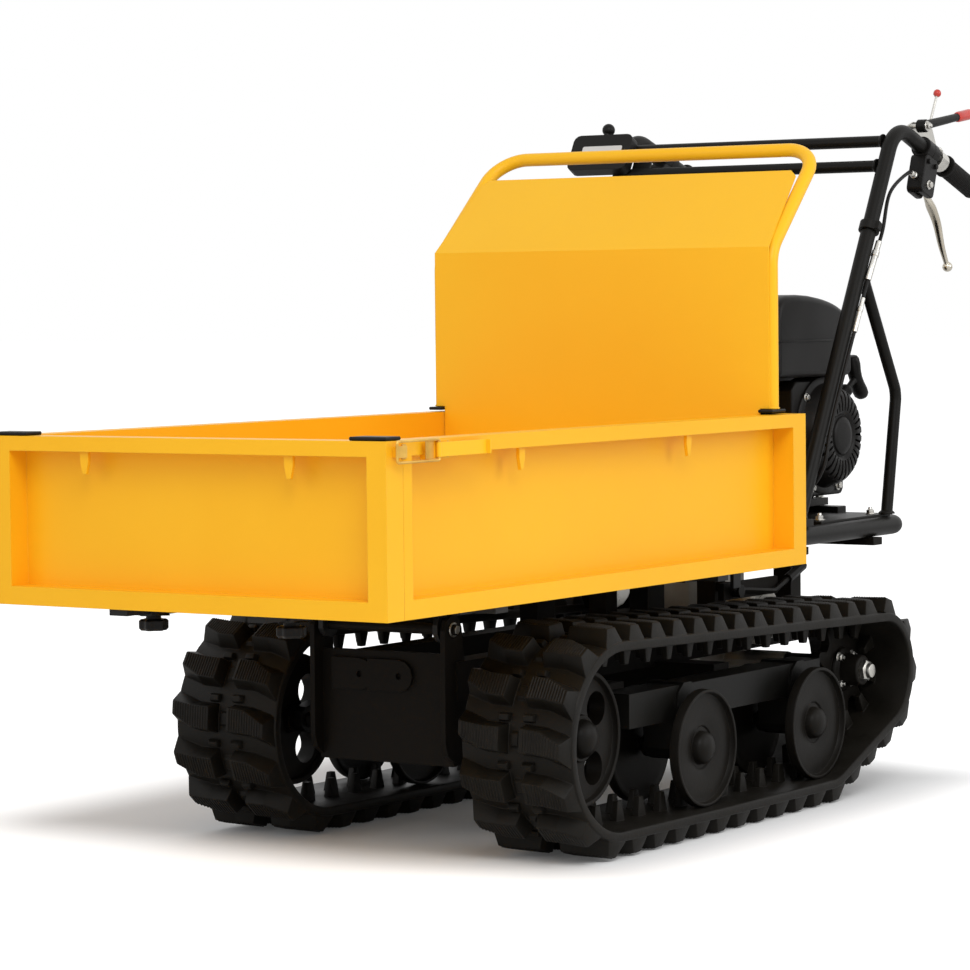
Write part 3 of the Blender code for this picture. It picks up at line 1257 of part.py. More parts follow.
def handle_frame():
    foot, bend, end = handle_points()
    slope = (end - bend).normalized()
    tube_end = end - slope * 0.005
    foot_dir = (bend - foot).normalized()
    main = tube(rounded_path([foot + foot_dir * 0.008, bend, tube_end], HANDLE_BEND, 5), HANDLE_RADIUS, 2)
    shoe = box((HANDLE_X - 0.016, HANDLE_FOOT_BACK - 0.020, foot.z),
               (HANDLE_X + 0.016, HANDLE_FOOT_BACK + 0.030, foot.z + 0.012))
    # Clamp band part way up, which holds the cables to the tube
    band_centre = foot.lerp(bend, 0.735)
    band = cylinder(Vector((0, 0, 0)), HANDLE_RADIUS + 0.0045, 0.016, "Z", 12)
    turn = foot_dir.to_track_quat("Z", "Y").to_matrix().to_4x4()
    band.data.transform(Matrix.Translation(band_centre) @ turn)
    housing = lever_housing()
    left = part("handle_tube_left", BLACK, joined(main, shoe, band, housing), foot)
    mirrored(left, "handle_tube_right")
    grip_start = end - slope * GRIP_LENGTH
    grip = cylinder(Vector((0, 0, 0)), HANDLE_RADIUS + GRIP_WALL, GRIP_LENGTH, "Z", 20)
    bore = cylinder(Vector((0, 0, -0.0045)), HANDLE_RADIUS + GAP, GRIP_LENGTH, "Z", 20)
    grip = cut(grip, bore)
    turn = slope.to_track_quat("Z", "Y").to_matrix().to_4x4()
    grip.data.transform(Matrix.Translation((grip_start + end) / 2) @ turn)
    left = part("grip_left", RUBBER, grip, grip_start)
    mirrored(left, "grip_right")


def grip_frame():
    """A frame at the handle's bend: x across, y along the grip, z square to it."""
    bend = handle_points()[1]
    return Matrix.Translation(bend) @ Matrix.Rotation(-GRIP_SLOPE, 4, "X")


def lever_housing():
    """The moulded body under the tube, slotted for the steering lever that turns in it."""
    frame = grip_frame()
    centre = Vector((0, HOUSING_ALONG, -HANDLE_RADIUS - HOUSING_HEIGHT / 2))
    body = bevelled(block((0.030, 0.046, HOUSING_HEIGHT), frame @ Matrix.Translation(centre)), 0.006)
    clamp = cylinder(Vector((0, 0, 0)), HANDLE_RADIUS + 0.005, 0.040, "Y", 12)
    clamp.data.transform(frame @ Matrix.Translation((0, HOUSING_ALONG, 0)))
    slot_place = centre + Vector((0, 0.014, -HOUSING_HEIGHT / 2 + 0.006))
    slot = block((LEVER_THICK + 2 * GAP, 0.060, 0.048), frame @ Matrix.Translation(slot_place))
    return cut(joined(body, clamp), slot)


def lever_pivot():
    return grip_frame() @ Vector((0, HOUSING_ALONG, -HANDLE_RADIUS - HOUSING_HEIGHT + 0.018))


def steering_levers():
    """Polished levers that hang under the grips, with a ball at the end."""
    pivot = lever_pivot()
    points = [
        pivot + Vector((0, -0.004, 0.004)),
        pivot + Vector((0, 0.022, -0.020)),
        pivot + Vector((0, 0.056, -0.058)),
        pivot + Vector((0, 0.076, -0.100)),
        pivot + Vector((0, 0.098, -0.134)),
    ]
    blade = tube(smooth_path(points, 0.030), LEVER_THICK / 2, 2)
    knob = ball(points[-1], 0.0085)
    left = part("steering_lever_left", POLISHED, joined(blade, knob), pivot)
    mirrored(left, "steering_lever_right")


def lever_bracket():
    """A plated bracket clamped on the left tube, which carries the clutch and throttle levers."""
    frame = grip_frame()
    ring = cylinder(Vector((0, 0, 0)), HANDLE_RADIUS + 0.004, 0.024, "Y", 16)
    bore = cylinder(Vector((0, 0, 0)), HANDLE_RADIUS + GAP, 0.040, "Y", 20)
    ring = cut(ring, bore)
    ring.data.transform(frame @ Matrix.Translation((0, BRACKET_ALONG, 0)))
    outline = [(0.082, 0.030), (0.100, 0.012), (0.190, 0.012), (0.198, 0.030),
               (0.168, 0.058), (0.150, 0.058), (0.100, 0.044)]
    web = plate(outline, 0.003, (0, 0, 0), "YZ")
    web.data.transform(frame @ Matrix.Translation((-BRACKET_ASIDE, 0, 0)))
    shelf_at = Matrix.Translation((-BRACKET_ASIDE / 2, BRACKET_ALONG, HANDLE_RADIUS + 0.0027))
    shelf = block((BRACKET_ASIDE, 0.020, 0.003), frame @ shelf_at)
    pin_end = -CLUTCH_BOSS / 2 - GAP
    pin_middle = (pin_end - BRACKET_ASIDE) / 2
    clutch_pin = cylinder(Vector((0, 0, 0)), 0.004, BRACKET_ASIDE + pin_end, "X", 8)
    clutch_pin.data.transform(frame @ Matrix.Translation(CLUTCH_PIVOT + Vector((pin_middle, 0, 0))))
    part("lever_bracket", ZINC, joined(web, ring, shelf, clutch_pin), frame @ Vector((0, BRACKET_ALONG, 0)))


def clutch_lever():
    """The long lever over the left grip, pressed down to drive."""
    frame = grip_frame()
    pivot = frame @ CLUTCH_PIVOT
    places = [(0.0, 0.0), (0.030, 0.016), (0.065, 0.034), (0.115, 0.060), (0.158, 0.082)]
    path = [frame @ (CLUTCH_PIVOT + Vector((0, y, z))) for y, z in places]
    thick = [1.0, 1.0, 0.9, 0.9, 0.9]
    arm = tube(path, 0.0075, 3, thick=thick)
    boss = cylinder(pivot, 0.011, CLUTCH_BOSS, "X", 12)
    part("clutch_lever", BLACK, joined(boss, arm), pivot)


def throttle_lever():
    frame = grip_frame()
    pivot = frame @ THROTTLE_PIVOT
    tip = frame @ (THROTTLE_PIVOT + Vector((0, 0.014, 0.078)))
    rod = tube([pivot, tip], 0.0022, 1)
    boss = cylinder(pivot, 0.008, 0.006, "X", 12)
    knob = ball(tip, 0.0065)
    part("throttle_lever", ZINC, joined(boss, rod, knob), pivot)


def strut():
    """The brace from the handle tube down to the deck loop, with one bend."""
    foot, bend = handle_points()[:2]
    tube_dir = (bend - foot).normalized()
    meet = foot.lerp(bend, 0.628)
    aside = Vector((0, tube_dir.z, -tube_dir.y)) * (HANDLE_RADIUS + GAP)
    base_z = DECK_TOP + GAP
    knee = at(HANDLE_X, CRANK_BACK + 0.096, 0.620)
    base = at(HANDLE_X, CRANK_BACK + 0.060, base_z - 0.006)
    start = meet + aside
    body = tube(rounded_path([start, knee, base], 0.04, 3), STRUT_RADIUS, 2)
    trim = cylinder(Vector((0, 0, 0)), HANDLE_RADIUS + GAP, 0.30, "Z", 20)
    turn = tube_dir.to_track_quat("Z", "Y").to_matrix().to_4x4()
    trim.data.transform(Matrix.Translation(meet) @ turn)
    deck_cut = box((HANDLE_X - 0.02, CRANK_BACK + 0.03, base_z - 0.02),
                   (HANDLE_X + 0.02, CRANK_BACK + 0.09, base_z))
    body = cut(body, gathered([trim, deck_cut]))
    left = part("strut_left", BLACK, body, base)
    mirrored(left, "strut_right")


def tube_frame(share):
    """A frame on the handle tube's centre line: x across, z up the tube, y square to it."""
    foot, bend = handle_points()[:2]
    up = (bend - foot).normalized()
    back = up.cross(Vector((1, 0, 0)))
    turn = Matrix((Vector((1, 0, 0)), back, up)).transposed().to_4x4()
    centre = foot.lerp(bend, share)
    return Matrix.Translation((0, centre.y, centre.z)) @ turn


def crossbars():
    """Two round bars between the handle tubes, tied by a small gusset."""
    inner = HANDLE_X - HANDLE_RADIUS - GAP
    upper = tube_frame(CROSSBAR_SHARES[0])
    lower = tube_frame(CROSSBAR_SHARES[1])
    bars = [cylinder(frame.translation, CROSSBAR_RADIUS, 2 * inner, "X", 16) for frame in (upper, lower)]
    apart = (upper.translation - lower.translation).length
    middle = tube_frame(sum(CROSSBAR_SHARES) / 2)
    gusset = block((0.034, 0.006, apart), middle @ Matrix.Translation((-inner + 0.026, 0, 0)))
    part("crossbars", BLACK, joined(*bars, gusset), middle.translation)


def control_panel():
    """The gear panel: a pressed plate with a folded rim, held in front of the right handle tube."""
    outline = rounded_rectangle(PANEL_WIDTH, PANEL_HEIGHT, 0.012)
    frame = tube_frame(PANEL_SHARE)
    forward = -(HANDLE_RADIUS + 0.010 + GAP)
    dish = plate(outline, 0.020, (0, 0, 0), "XZ")
    inner = plate(rounded_rectangle(PANEL_WIDTH - 0.005, PANEL_HEIGHT - 0.005, 0.010), 0.020, (0, -0.0025, 0), "XZ")
    inner.data.transform(Matrix.Translation((0, 0.005, 0)))
    pad = block((0.026, 0.0178, 0.030), Matrix.Translation((HANDLE_PANEL_OFFSET, 0.0011, 0)))
    post = cylinder(Vector((-0.014, 0.0019, -0.012)), 0.006, 0.0218, "Y", 10)
    solid = joined(cut(dish, inner), pad, post)
    place = frame @ Vector((PANEL_X, forward, 0))
    solid.data.transform(frame @ Matrix.Translation((PANEL_X, forward, 0)))
    part("control_panel", PLASTIC, solid, place)


def gear_lever():
    """The gear lever turns on a post behind the panel, and its knob stands above the panel's edge."""
    frame = tube_frame(PANEL_SHARE)
    pivot = Vector((PANEL_X - 0.014, -HANDLE_RADIUS + 0.0075 + GAP, -0.012))
    boss = cylinder(Vector((0, 0, 0)), 0.009, 0.010, "Y", 14)
    boss.data.transform(frame @ Matrix.Translation(pivot))
    rod = cylinder(Vector((0, 0, 0.034)), 0.0035, 0.068, "Z", 10)
    rod.data.transform(frame @ Matrix.Translation(pivot))
    knob = ball(Vector((0, 0, 0.072)), 0.011)
    knob.data.transform(frame @ Matrix.Translation(pivot))
    part("gear_lever", PLASTIC, joined(boss, rod, knob), frame @ pivot)


def rope_direction():
    return Vector((0, math.cos(ROPE_RISE), -math.sin(ROPE_RISE)))


def rope_point(distance):
    """A point on the starter rope's line, from inside its guide outwards."""
    return at(ROPE_X, CRANK_BACK + 0.050, CRANK_Z + 0.060) + rope_direction() * distance


def recoil_handle():
    """The starter's T grip, which stands at the mouth of the rope guide."""
    mouth = 0.025 + GAP
    along = rope_direction()
    grip_at = rope_point(mouth + 0.042)
    stem_low = rope_point(mouth)
    stem = tube([stem_low, stem_low.lerp(grip_at, 0.5), grip_at], 0.0050, 2)
    across = Vector((0, along.z, -along.y))
    half = 0.036
    path = [grip_at + across * (half * share) for share in (-1.0, -0.8, 0.0, 0.8, 1.0)]
    grip = tube(path, 0.0110, 3, thick=[0.72, 1.0, 0.9, 1.0, 0.72])
    part("recoil_handle", PLASTIC, joined(grip, stem), stem_low)


def beside_tube(share, aside, behind):
    """A point near the left handle tube, from its share of the way up and its offsets from the tube."""
    return tube_frame(share) @ Vector((HANDLE_X + aside, behind, 0))


def cables():
    """Bowden cables from the lever housings, down beside the handle tubes, to the gearbox."""
    frame = grip_frame()
    start = frame @ Vector((0, HOUSING_ALONG - 0.0245, -HANDLE_RADIUS - HOUSING_HEIGHT * 0.62))
    forward = frame.to_3x3() @ Vector((0, -1, 0))
    route = [
        start, start + forward * 0.020, beside_tube(0.84, 0.0100, 0.0200), beside_tube(0.735, 0.0160, 0.0150),
        beside_tube(0.64, 0.0168, 0.0060), beside_tube(0.45, 0.0168, 0.0020), beside_tube(0.25, 0.0168, 0.0020),
        beside_tube(0.15, 0.0150, 0.0120), at(0.2350, 1.272, 0.470), at(0.1900, 1.262, 0.442),
        at(0.1300, 1.262, 0.432), at(0.0700, 1.276, 0.420), at(0.0200, 1.290, 0.395), at(0.0200, 1.290, 0.3555),
    ]
    left = part("cable_left", PLASTIC, tube(smooth_path(route, 0.045), CABLE_RADIUS, 1), start)
    mirrored(left, "cable_right")


def build():
    front_gate()
    side_gate()
    corner_latch()
    tray_floor()
    headboard()
    headboard_rail()
    corner_caps()
    clamp_knobs()
    track_belt()
    rollers()
    idlers()
    sprockets()
    track_frame()
    chassis_frame()
    tip_lock()
    transaxle()
    engine_deck()
    engine()
    fuel_tank()
    engine_fittings()
    belt_drive()
    belt_guard()
    handle_frame()
    steering_levers()
    strut()
    crossbars()
    control_panel()
    gear_lever()
    lever_bracket()
    clutch_lever()
    throttle_lever()
    recoil_handle()
    cables()


build()
for leftover in list(workshop.objects):
    bpy.data.objects.remove(leftover, do_unlink=True)
bpy.data.collections.remove(workshop)
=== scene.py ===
# %% [markdown]
# # A tracked dumper, dressed for its portrait
#
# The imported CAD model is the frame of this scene. It gives every piece its place and its
# motion. This lesson adds what a workshop model lacks: a camera and a plain studio, finishes
# with grain and wear, and finer pieces where the CAD solid is only a plain stand-in.

# %% Load the frame
import math

import bmesh
import bpy
from mathutils import Matrix, Vector


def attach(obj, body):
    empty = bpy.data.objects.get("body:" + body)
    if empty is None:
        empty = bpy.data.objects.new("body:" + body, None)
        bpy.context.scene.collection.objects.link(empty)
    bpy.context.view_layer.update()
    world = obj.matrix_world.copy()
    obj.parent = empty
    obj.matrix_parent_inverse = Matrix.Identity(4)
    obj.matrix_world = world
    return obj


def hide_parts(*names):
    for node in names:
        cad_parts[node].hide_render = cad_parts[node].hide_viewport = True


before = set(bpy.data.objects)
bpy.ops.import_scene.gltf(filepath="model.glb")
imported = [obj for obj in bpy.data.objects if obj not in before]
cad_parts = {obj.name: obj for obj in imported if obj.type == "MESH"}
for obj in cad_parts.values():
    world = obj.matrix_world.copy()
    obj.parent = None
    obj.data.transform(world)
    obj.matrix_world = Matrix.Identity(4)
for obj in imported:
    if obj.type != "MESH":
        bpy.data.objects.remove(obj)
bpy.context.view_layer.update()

# %% [markdown]
# ## The camera
#
# The photograph was taken from the machine's front left corner with a long lens, a little
# below the top of the headboard. A real camera is placed by its position, heading, tilt and
# roll, so those four numbers are set here. A camera that tracks a target would be quicker to
# set up, but it can't hold the slight roll that the photograph has.

# %% Camera
HEADING = math.radians(33.5)
TILT_DOWN = math.radians(2.95)
ROLL = math.radians(-0.62)
CAMERA_PLACE = Vector((2.835, -4.493, 0.77))

lens = bpy.data.cameras.new("portrait_lens")
lens.sensor_width = 36.0
lens.lens = 129.6
lens.clip_end = 200.0
camera = bpy.data.objects.new("portrait_camera", lens)
bpy.context.scene.collection.objects.link(camera)
camera.matrix_world = (
    Matrix.Translation(CAMERA_PLACE)
    @ Matrix.Rotation(HEADING, 4, "Z")
    @ Matrix.Rotation(math.pi / 2 - TILT_DOWN, 4, "X")
    @ Matrix.Rotation(ROLL, 4, "Z")
)
bpy.context.scene.camera = camera
bpy.context.scene.view_settings.view_transform = "Standard"
print("camera at", tuple(CAMERA_PLACE), "lens", lens.lens)

# %% [markdown]
# ## The studio
#
# The background is pure white and only a soft grey shadow ties the machine to the floor. The
# floor is a matt white sheet that runs far back. For the camera alone it also glows a little,
# which lifts it to white without putting more light on the machine. Inside a box-shaped patch
# round the machine that glow is held back, which paints the shadow's extent: there the lamps'
# own shadow shows, and outside the patch the floor is lifted to white. Three large soft lamps
# and a pale world light the paint at about the level at which its colour was written.

# %% A small helper for node materials
def node(tree, kind, place=(0, 0), **values):
    """Add a node; a value goes to the input or the property of that name."""
    made = tree.nodes.new(kind)
    made.location = place
    for key, value in values.items():
        if hasattr(made, key):
            setattr(made, key, value)
        else:
            made.inputs[key.replace("_", " ")].default_value = value
    return made


def wire(tree, source, output, target, entry):
    tree.links.new(source.outputs[output], target.inputs[entry])


def blank_material(name):
    material = bpy.data.materials.new(name)
    material.use_nodes = True
    material.node_tree.nodes.clear()
    return material


# %% Floor
FLOOR_HALF = 60.0
FLOOR_Z = -0.0006
GLOW_NEAR = 0.03
GLOW_FAR = 0.60
# The painted shadow's patch, where the camera glow is held back: its middle, its half size, and the distances over
# which the glow returns
SHADE_CENTRE = (-0.13, 0.06, 0.0)
SHADE_HALF = (0.43, 0.50, 1.0)
SHADE_FADE = (-0.01, 0.26)


def floor_material():
    """Matt white, with a glow for the camera alone that is held back in a patch round the machine, which paints the
    shadow's extent.
    """
    material = blank_material("studio_floor")
    tree = material.node_tree
    matt = node(tree, "ShaderNodeBsdfDiffuse", Color=(0.86, 0.86, 0.86, 1.0))
    glow = node(tree, "ShaderNodeEmission", (0, -200), Color=(1.0, 1.0, 1.0, 1.0))
    shape = node(tree, "ShaderNodeNewGeometry", (-1700, -400))
    shifted = node(tree, "ShaderNodeVectorMath", (-1500, -400), operation="SUBTRACT")
    shifted.inputs[1].default_value = SHADE_CENTRE
    folded = node(tree, "ShaderNodeVectorMath", (-1300, -400), operation="ABSOLUTE")
    beyond = node(tree, "ShaderNodeVectorMath", (-1150, -400), operation="SUBTRACT")
    beyond.inputs[1].default_value = SHADE_HALF
    outside = node(tree, "ShaderNodeVectorMath", (-1000, -400), operation="MAXIMUM")
    away = node(tree, "ShaderNodeVectorMath", (-800, -400), operation="LENGTH")
    # Painted shadow: the camera glow is GLOW_NEAR inside the patch and rises to GLOW_FAR beyond it
    spread = node(tree, "ShaderNodeMapRange", (-600, -400), interpolation_type="SMOOTHSTEP")
    spread.inputs["From Min"].default_value = SHADE_FADE[0]
    spread.inputs["From Max"].default_value = SHADE_FADE[1]
    spread.inputs["To Min"].default_value = GLOW_NEAR
    spread.inputs["To Max"].default_value = GLOW_FAR
    path = node(tree, "ShaderNodeLightPath", (-400, -200))
    level = node(tree, "ShaderNodeMath", (-200, -200), operation="MULTIPLY")
    both = node(tree, "ShaderNodeAddShader", (200, 0))
    out = node(tree, "ShaderNodeOutputMaterial", (400, 0))
    wire(tree, shape, "Position", shifted, 0)
    wire(tree, shifted, 0, folded, 0)
    wire(tree, folded, 0, beyond, 0)
    wire(tree, beyond, 0, outside, 0)
    wire(tree, outside, 0, away, 0)
    wire(tree, away, "Value", spread, "Value")
    wire(tree, path, "Is Camera Ray", level, 0)
    wire(tree, spread, 0, level, 1)
    wire(tree, level, 0, glow, "Strength")
    wire(tree, matt, 0, both, 0)
    wire(tree, glow, 0, both, 1)
    wire(tree, both, 0, out, "Surface")
    return material


floor_mesh = bpy.data.meshes.new("studio_floor")
corners = [
    (-FLOOR_HALF, -FLOOR_HALF), (FLOOR_HALF, -FLOOR_HALF), (FLOOR_HALF, FLOOR_HALF),
    (-FLOOR_HALF, FLOOR_HALF),
]
floor_mesh.from_pydata([(x, y, FLOOR_Z) for x, y in corners], [], [(0, 1, 2, 3)])
floor_mesh.materials.append(floor_material())
floor = bpy.data.objects.new("studio_floor", floor_mesh)
bpy.context.scene.collection.objects.link(floor)

# %% World and lamps
WORLD_LEVEL = 0.62


def studio_world():
    """Pale light all round; the camera and mirror-like paths see it as plain white."""
    world = bpy.data.worlds.new("studio_world")
    world.use_nodes = True
    tree = world.node_tree
    tree.nodes.clear()
    path = node(tree, "ShaderNodeLightPath")
    seen = node(tree, "ShaderNodeMath", (200, 0), operation="MAXIMUM")
    clear = node(tree, "ShaderNodeMath", (400, 0), operation="MAXIMUM")
    level = node(tree, "ShaderNodeMapRange", (600, 0))
    level.inputs["To Min"].default_value = WORLD_LEVEL
    level.inputs["To Max"].default_value = 1.0
    background = node(tree, "ShaderNodeBackground", (800, 0), Color=(1.0, 1.0, 1.0, 1.0))
    out = node(tree, "ShaderNodeOutputWorld", (1000, 0))
    wire(tree, path, "Is Camera Ray", seen, 0)
    wire(tree, path, "Is Transmission Ray", seen, 1)
    wire(tree, seen, 0, clear, 0)
    wire(tree, path, "Is Glossy Ray", clear, 1)
    wire(tree, clear, 0, level, "Value")
    wire(tree, level, 0, background, "Strength")
    wire(tree, background, 0, out, "Surface")
    bpy.context.scene.world = world


def softbox(name, place, target, size, power):
    data = bpy.data.lights.new(name, "AREA")
    data.shape = "RECTANGLE"
    data.size, data.size_y = size
    data.energy = power
    lamp = bpy.data.objects.new(name, data)
    lamp.location = place
    lamp.rotation_euler = (Vector(target) - Vector(place)).to_track_quat("-Z", "Y").to_euler()
    bpy.context.scene.collection.objects.link(lamp)
    return lamp


studio_world()
softbox("key_softbox", (2.6, -2.9, 3.4), (0.0, -0.1, 0.4), (2.6, 2.0), 84.0)
softbox("side_softbox", (4.2, 1.2, 2.2), (0.0, 0.0, 0.5), (2.2, 2.2), 46.0)
softbox("front_softbox", (-1.6, -4.2, 2.2), (0.0, -0.2, 0.4), (2.4, 1.8), 17.0)
print("studio ready")

# %% [markdown]
# ## Shared surface effects
#
# Paint, rubber and castings all need fine grain, and all of them gather wear on edges and
# dust on upper faces. Each effect is a node group with named inputs, made once and set with
# its own values in every finish that uses it. The groups give out only colours, masks and
# heights; the shader itself stays in the material.

# %% Node group helper
def new_group(name, inputs, outputs):
    """An empty group with float or colour sockets, and its two end nodes."""
    group = bpy.data.node_groups.new(name, "ShaderNodeTree")
    for label, kind, value in inputs:
        socket = group.interface.new_socket(label, in_out="INPUT", socket_type=kind)
        socket.default_value = value
    for label, kind in outputs:
        group.interface.new_socket(label, in_out="OUTPUT", socket_type=kind)
    start = node(group, "NodeGroupInput", (-900, 0))
    end = node(group, "NodeGroupOutput", (900, 0))
    return group, start, end


FLOAT = "NodeSocketFloat"


# %% Grain: a fine height with a slow change of tone
def grain_group():
    group, start, end = new_group("fine_grain", [
        ("Scale", FLOAT, 600.0), ("Tone Scale", FLOAT, 6.0), ("Detail Share", FLOAT, 0.5),
    ], [("Height", FLOAT), ("Tone", FLOAT)])
    place = node(group, "ShaderNodeTexCoord", (-900, -300))
    fine = node(group, "ShaderNodeTexNoise", (-500, 100), Detail=3.0, Roughness=0.6)
    slow = node(group, "ShaderNodeTexNoise", (-500, -200), Detail=4.0, Roughness=0.55)
    coarse = node(group, "ShaderNodeTexNoise", (-500, -450), Detail=2.0)
    wider = node(group, "ShaderNodeMath", (-700, -450), operation="MULTIPLY")
    wider.inputs[1].default_value = 0.22
    both = node(group, "ShaderNodeMix", (-100, 0))
    for noise in (fine, slow, coarse):
        wire(group, place, "Object", noise, "Vector")
    wire(group, start, "Scale", fine, "Scale")
    wire(group, start, "Scale", wider, 0)
    wire(group, wider, 0, coarse, "Scale")
    wire(group, start, "Tone Scale", slow, "Scale")
    wire(group, start, "Detail Share", both, 0)
    wire(group, coarse, 0, both, 2)
    wire(group, fine, 0, both, 3)
    wire(group, both, 0, end, "Height")
    wire(group, slow, 0, end, "Tone")
    return group


GRAIN = grain_group()


# %% Edge wear: where the rounded normal and the true one differ, broken up by noise
def edge_group():
    group, start, end = new_group("edge_wear", [
        ("Width", FLOAT, 0.0012), ("Amount", FLOAT, 1.0), ("Break Up", FLOAT, 60.0),
    ], [("Edge", FLOAT), ("Normal", "NodeSocketVector")])
    rounded = node(group, "ShaderNodeBevel", (-600, 200), samples=4)
    true = node(group, "ShaderNodeNewGeometry", (-600, 0))
    along = node(group, "ShaderNodeVectorMath", (-350, 100), operation="DOT_PRODUCT")
    turn = node(group, "ShaderNodeMapRange", (-150, 100))
    turn.inputs["From Min"].default_value = 0.995
    turn.inputs["From Max"].default_value = 0.86
    place = node(group, "ShaderNodeTexCoord", (-900, -300))
    noise = node(group, "ShaderNodeTexNoise", (-600, -250), Detail=5.0, Roughness=0.65)
    patch = node(group, "ShaderNodeMapRange", (-350, -250))
    patch.inputs["From Min"].default_value = 0.42
    patch.inputs["From Max"].default_value = 0.62
    worn = node(group, "ShaderNodeMath", (100, 0), operation="MULTIPLY")
    share = node(group, "ShaderNodeMath", (300, 0), operation="MULTIPLY")
    wire(group, start, "Width", rounded, "Radius")
    wire(group, rounded, "Normal", along, 0)
    wire(group, true, "Normal", along, 1)
    wire(group, along, "Value", turn, "Value")
    wire(group, place, "Object", noise, "Vector")
    wire(group, start, "Break Up", noise, "Scale")
    wire(group, noise, 0, patch, "Value")
    wire(group, turn, 0, worn, 0)
    wire(group, patch, 0, worn, 1)
    wire(group, worn, 0, share, 0)
    wire(group, start, "Amount", share, 1)
    wire(group, share, 0, end, "Edge")
    wire(group, rounded, "Normal", end, "Normal")
    return group


EDGE = edge_group()


# %% Dust: lies on faces that look up, and thins out with height above the ground
def dust_group():
    group, start, end = new_group("settled_dust", [
        ("Upper Amount", FLOAT, 0.3), ("Low Amount", FLOAT, 0.0), ("Low Height", FLOAT, 0.15),
    ], [("Dust", FLOAT)])
    shape = node(group, "ShaderNodeNewGeometry", (-800, 0))
    parts = node(group, "ShaderNodeSeparateXYZ", (-600, 100))
    spot = node(group, "ShaderNodeTexCoord", (-900, -200))
    place = node(group, "ShaderNodeSeparateXYZ", (-600, -200))
    upward = node(group, "ShaderNodeMapRange", (-400, 100))
    upward.inputs["From Min"].default_value = 0.35
    low = node(group, "ShaderNodeMapRange", (-400, -200))
    low.inputs["From Min"].default_value = 0.0
    low.inputs["To Min"].default_value = 1.0
    low.inputs["To Max"].default_value = 0.0
    noise = node(group, "ShaderNodeTexNoise", (-600, -450), Scale=22.0, Detail=6.0, Roughness=0.7)
    patch = node(group, "ShaderNodeMapRange", (-400, -450))
    patch.inputs["From Min"].default_value = 0.38
    patch.inputs["From Max"].default_value = 0.70
    upper = node(group, "ShaderNodeMath", (-150, 100), operation="MULTIPLY")
    lower = node(group, "ShaderNodeMath", (-150, -200), operation="MULTIPLY")
    total = node(group, "ShaderNodeMath", (100, 0), operation="ADD")
    broken = node(group, "ShaderNodeMath", (300, 0), operation="MULTIPLY", use_clamp=True)
    wire(group, shape, "Normal", parts, 0)
    wire(group, spot, "Object", place, 0)
    wire(group, spot, "Object", noise, "Vector")
    wire(group, parts, "Z", upward, "Value")
    wire(group, place, "Z", low, "Value")
    wire(group, start, "Low Height", low, "From Max")
    wire(group, noise, 0, patch, "Value")
    wire(group, upward, 0, upper, 0)
    wire(group, start, "Upper Amount", upper, 1)
    wire(group, low, 0, lower, 0)
    wire(group, start, "Low Amount", lower, 1)
    wire(group, upper, 0, total, 0)
    wire(group, lower, 0, total, 1)
    wire(group, total, 0, broken, 0)
    wire(group, patch, 0, broken, 1)
    wire(group, broken, 0, end, "Dust")
    return group


DUST = dust_group()
print("groups", [g.name for g in bpy.data.node_groups])

# %% [markdown]
# ## The finishes
#
# Every finish follows one recipe. A base colour drifts a little in tone, edges wear towards a
# second colour, and dust lies over both. Roughness drifts with the same noise, and the grain
# feeds a bump. Only the numbers differ from powder coat to rubber, so one function builds
# them all, and the constants that never change over the surface sit on the shader itself.

# %% Build a finish from its numbers
def use_group(tree, group, place, **values):
    made = node(tree, "ShaderNodeGroup", place)
    made.node_tree = group
    for key, value in values.items():
        made.inputs[key.replace("_", " ")].default_value = value
    return made


def colour_mix(tree, place, factor, first, second):
    """Mix two colours by a mask; each colour is a value or an (output node, socket) pair."""
    mix = node(tree, "ShaderNodeMix", place, data_type="RGBA")
    wire(tree, factor[0], factor[1], mix, 0)
    for entry, colour in ((6, first), (7, second)):
        if isinstance(colour[0], bpy.types.Node):
            tree.links.new(colour[0].outputs[colour[1]], mix.inputs[entry])
        else:
            mix.inputs[entry].default_value = (*colour, 1.0)
    return mix


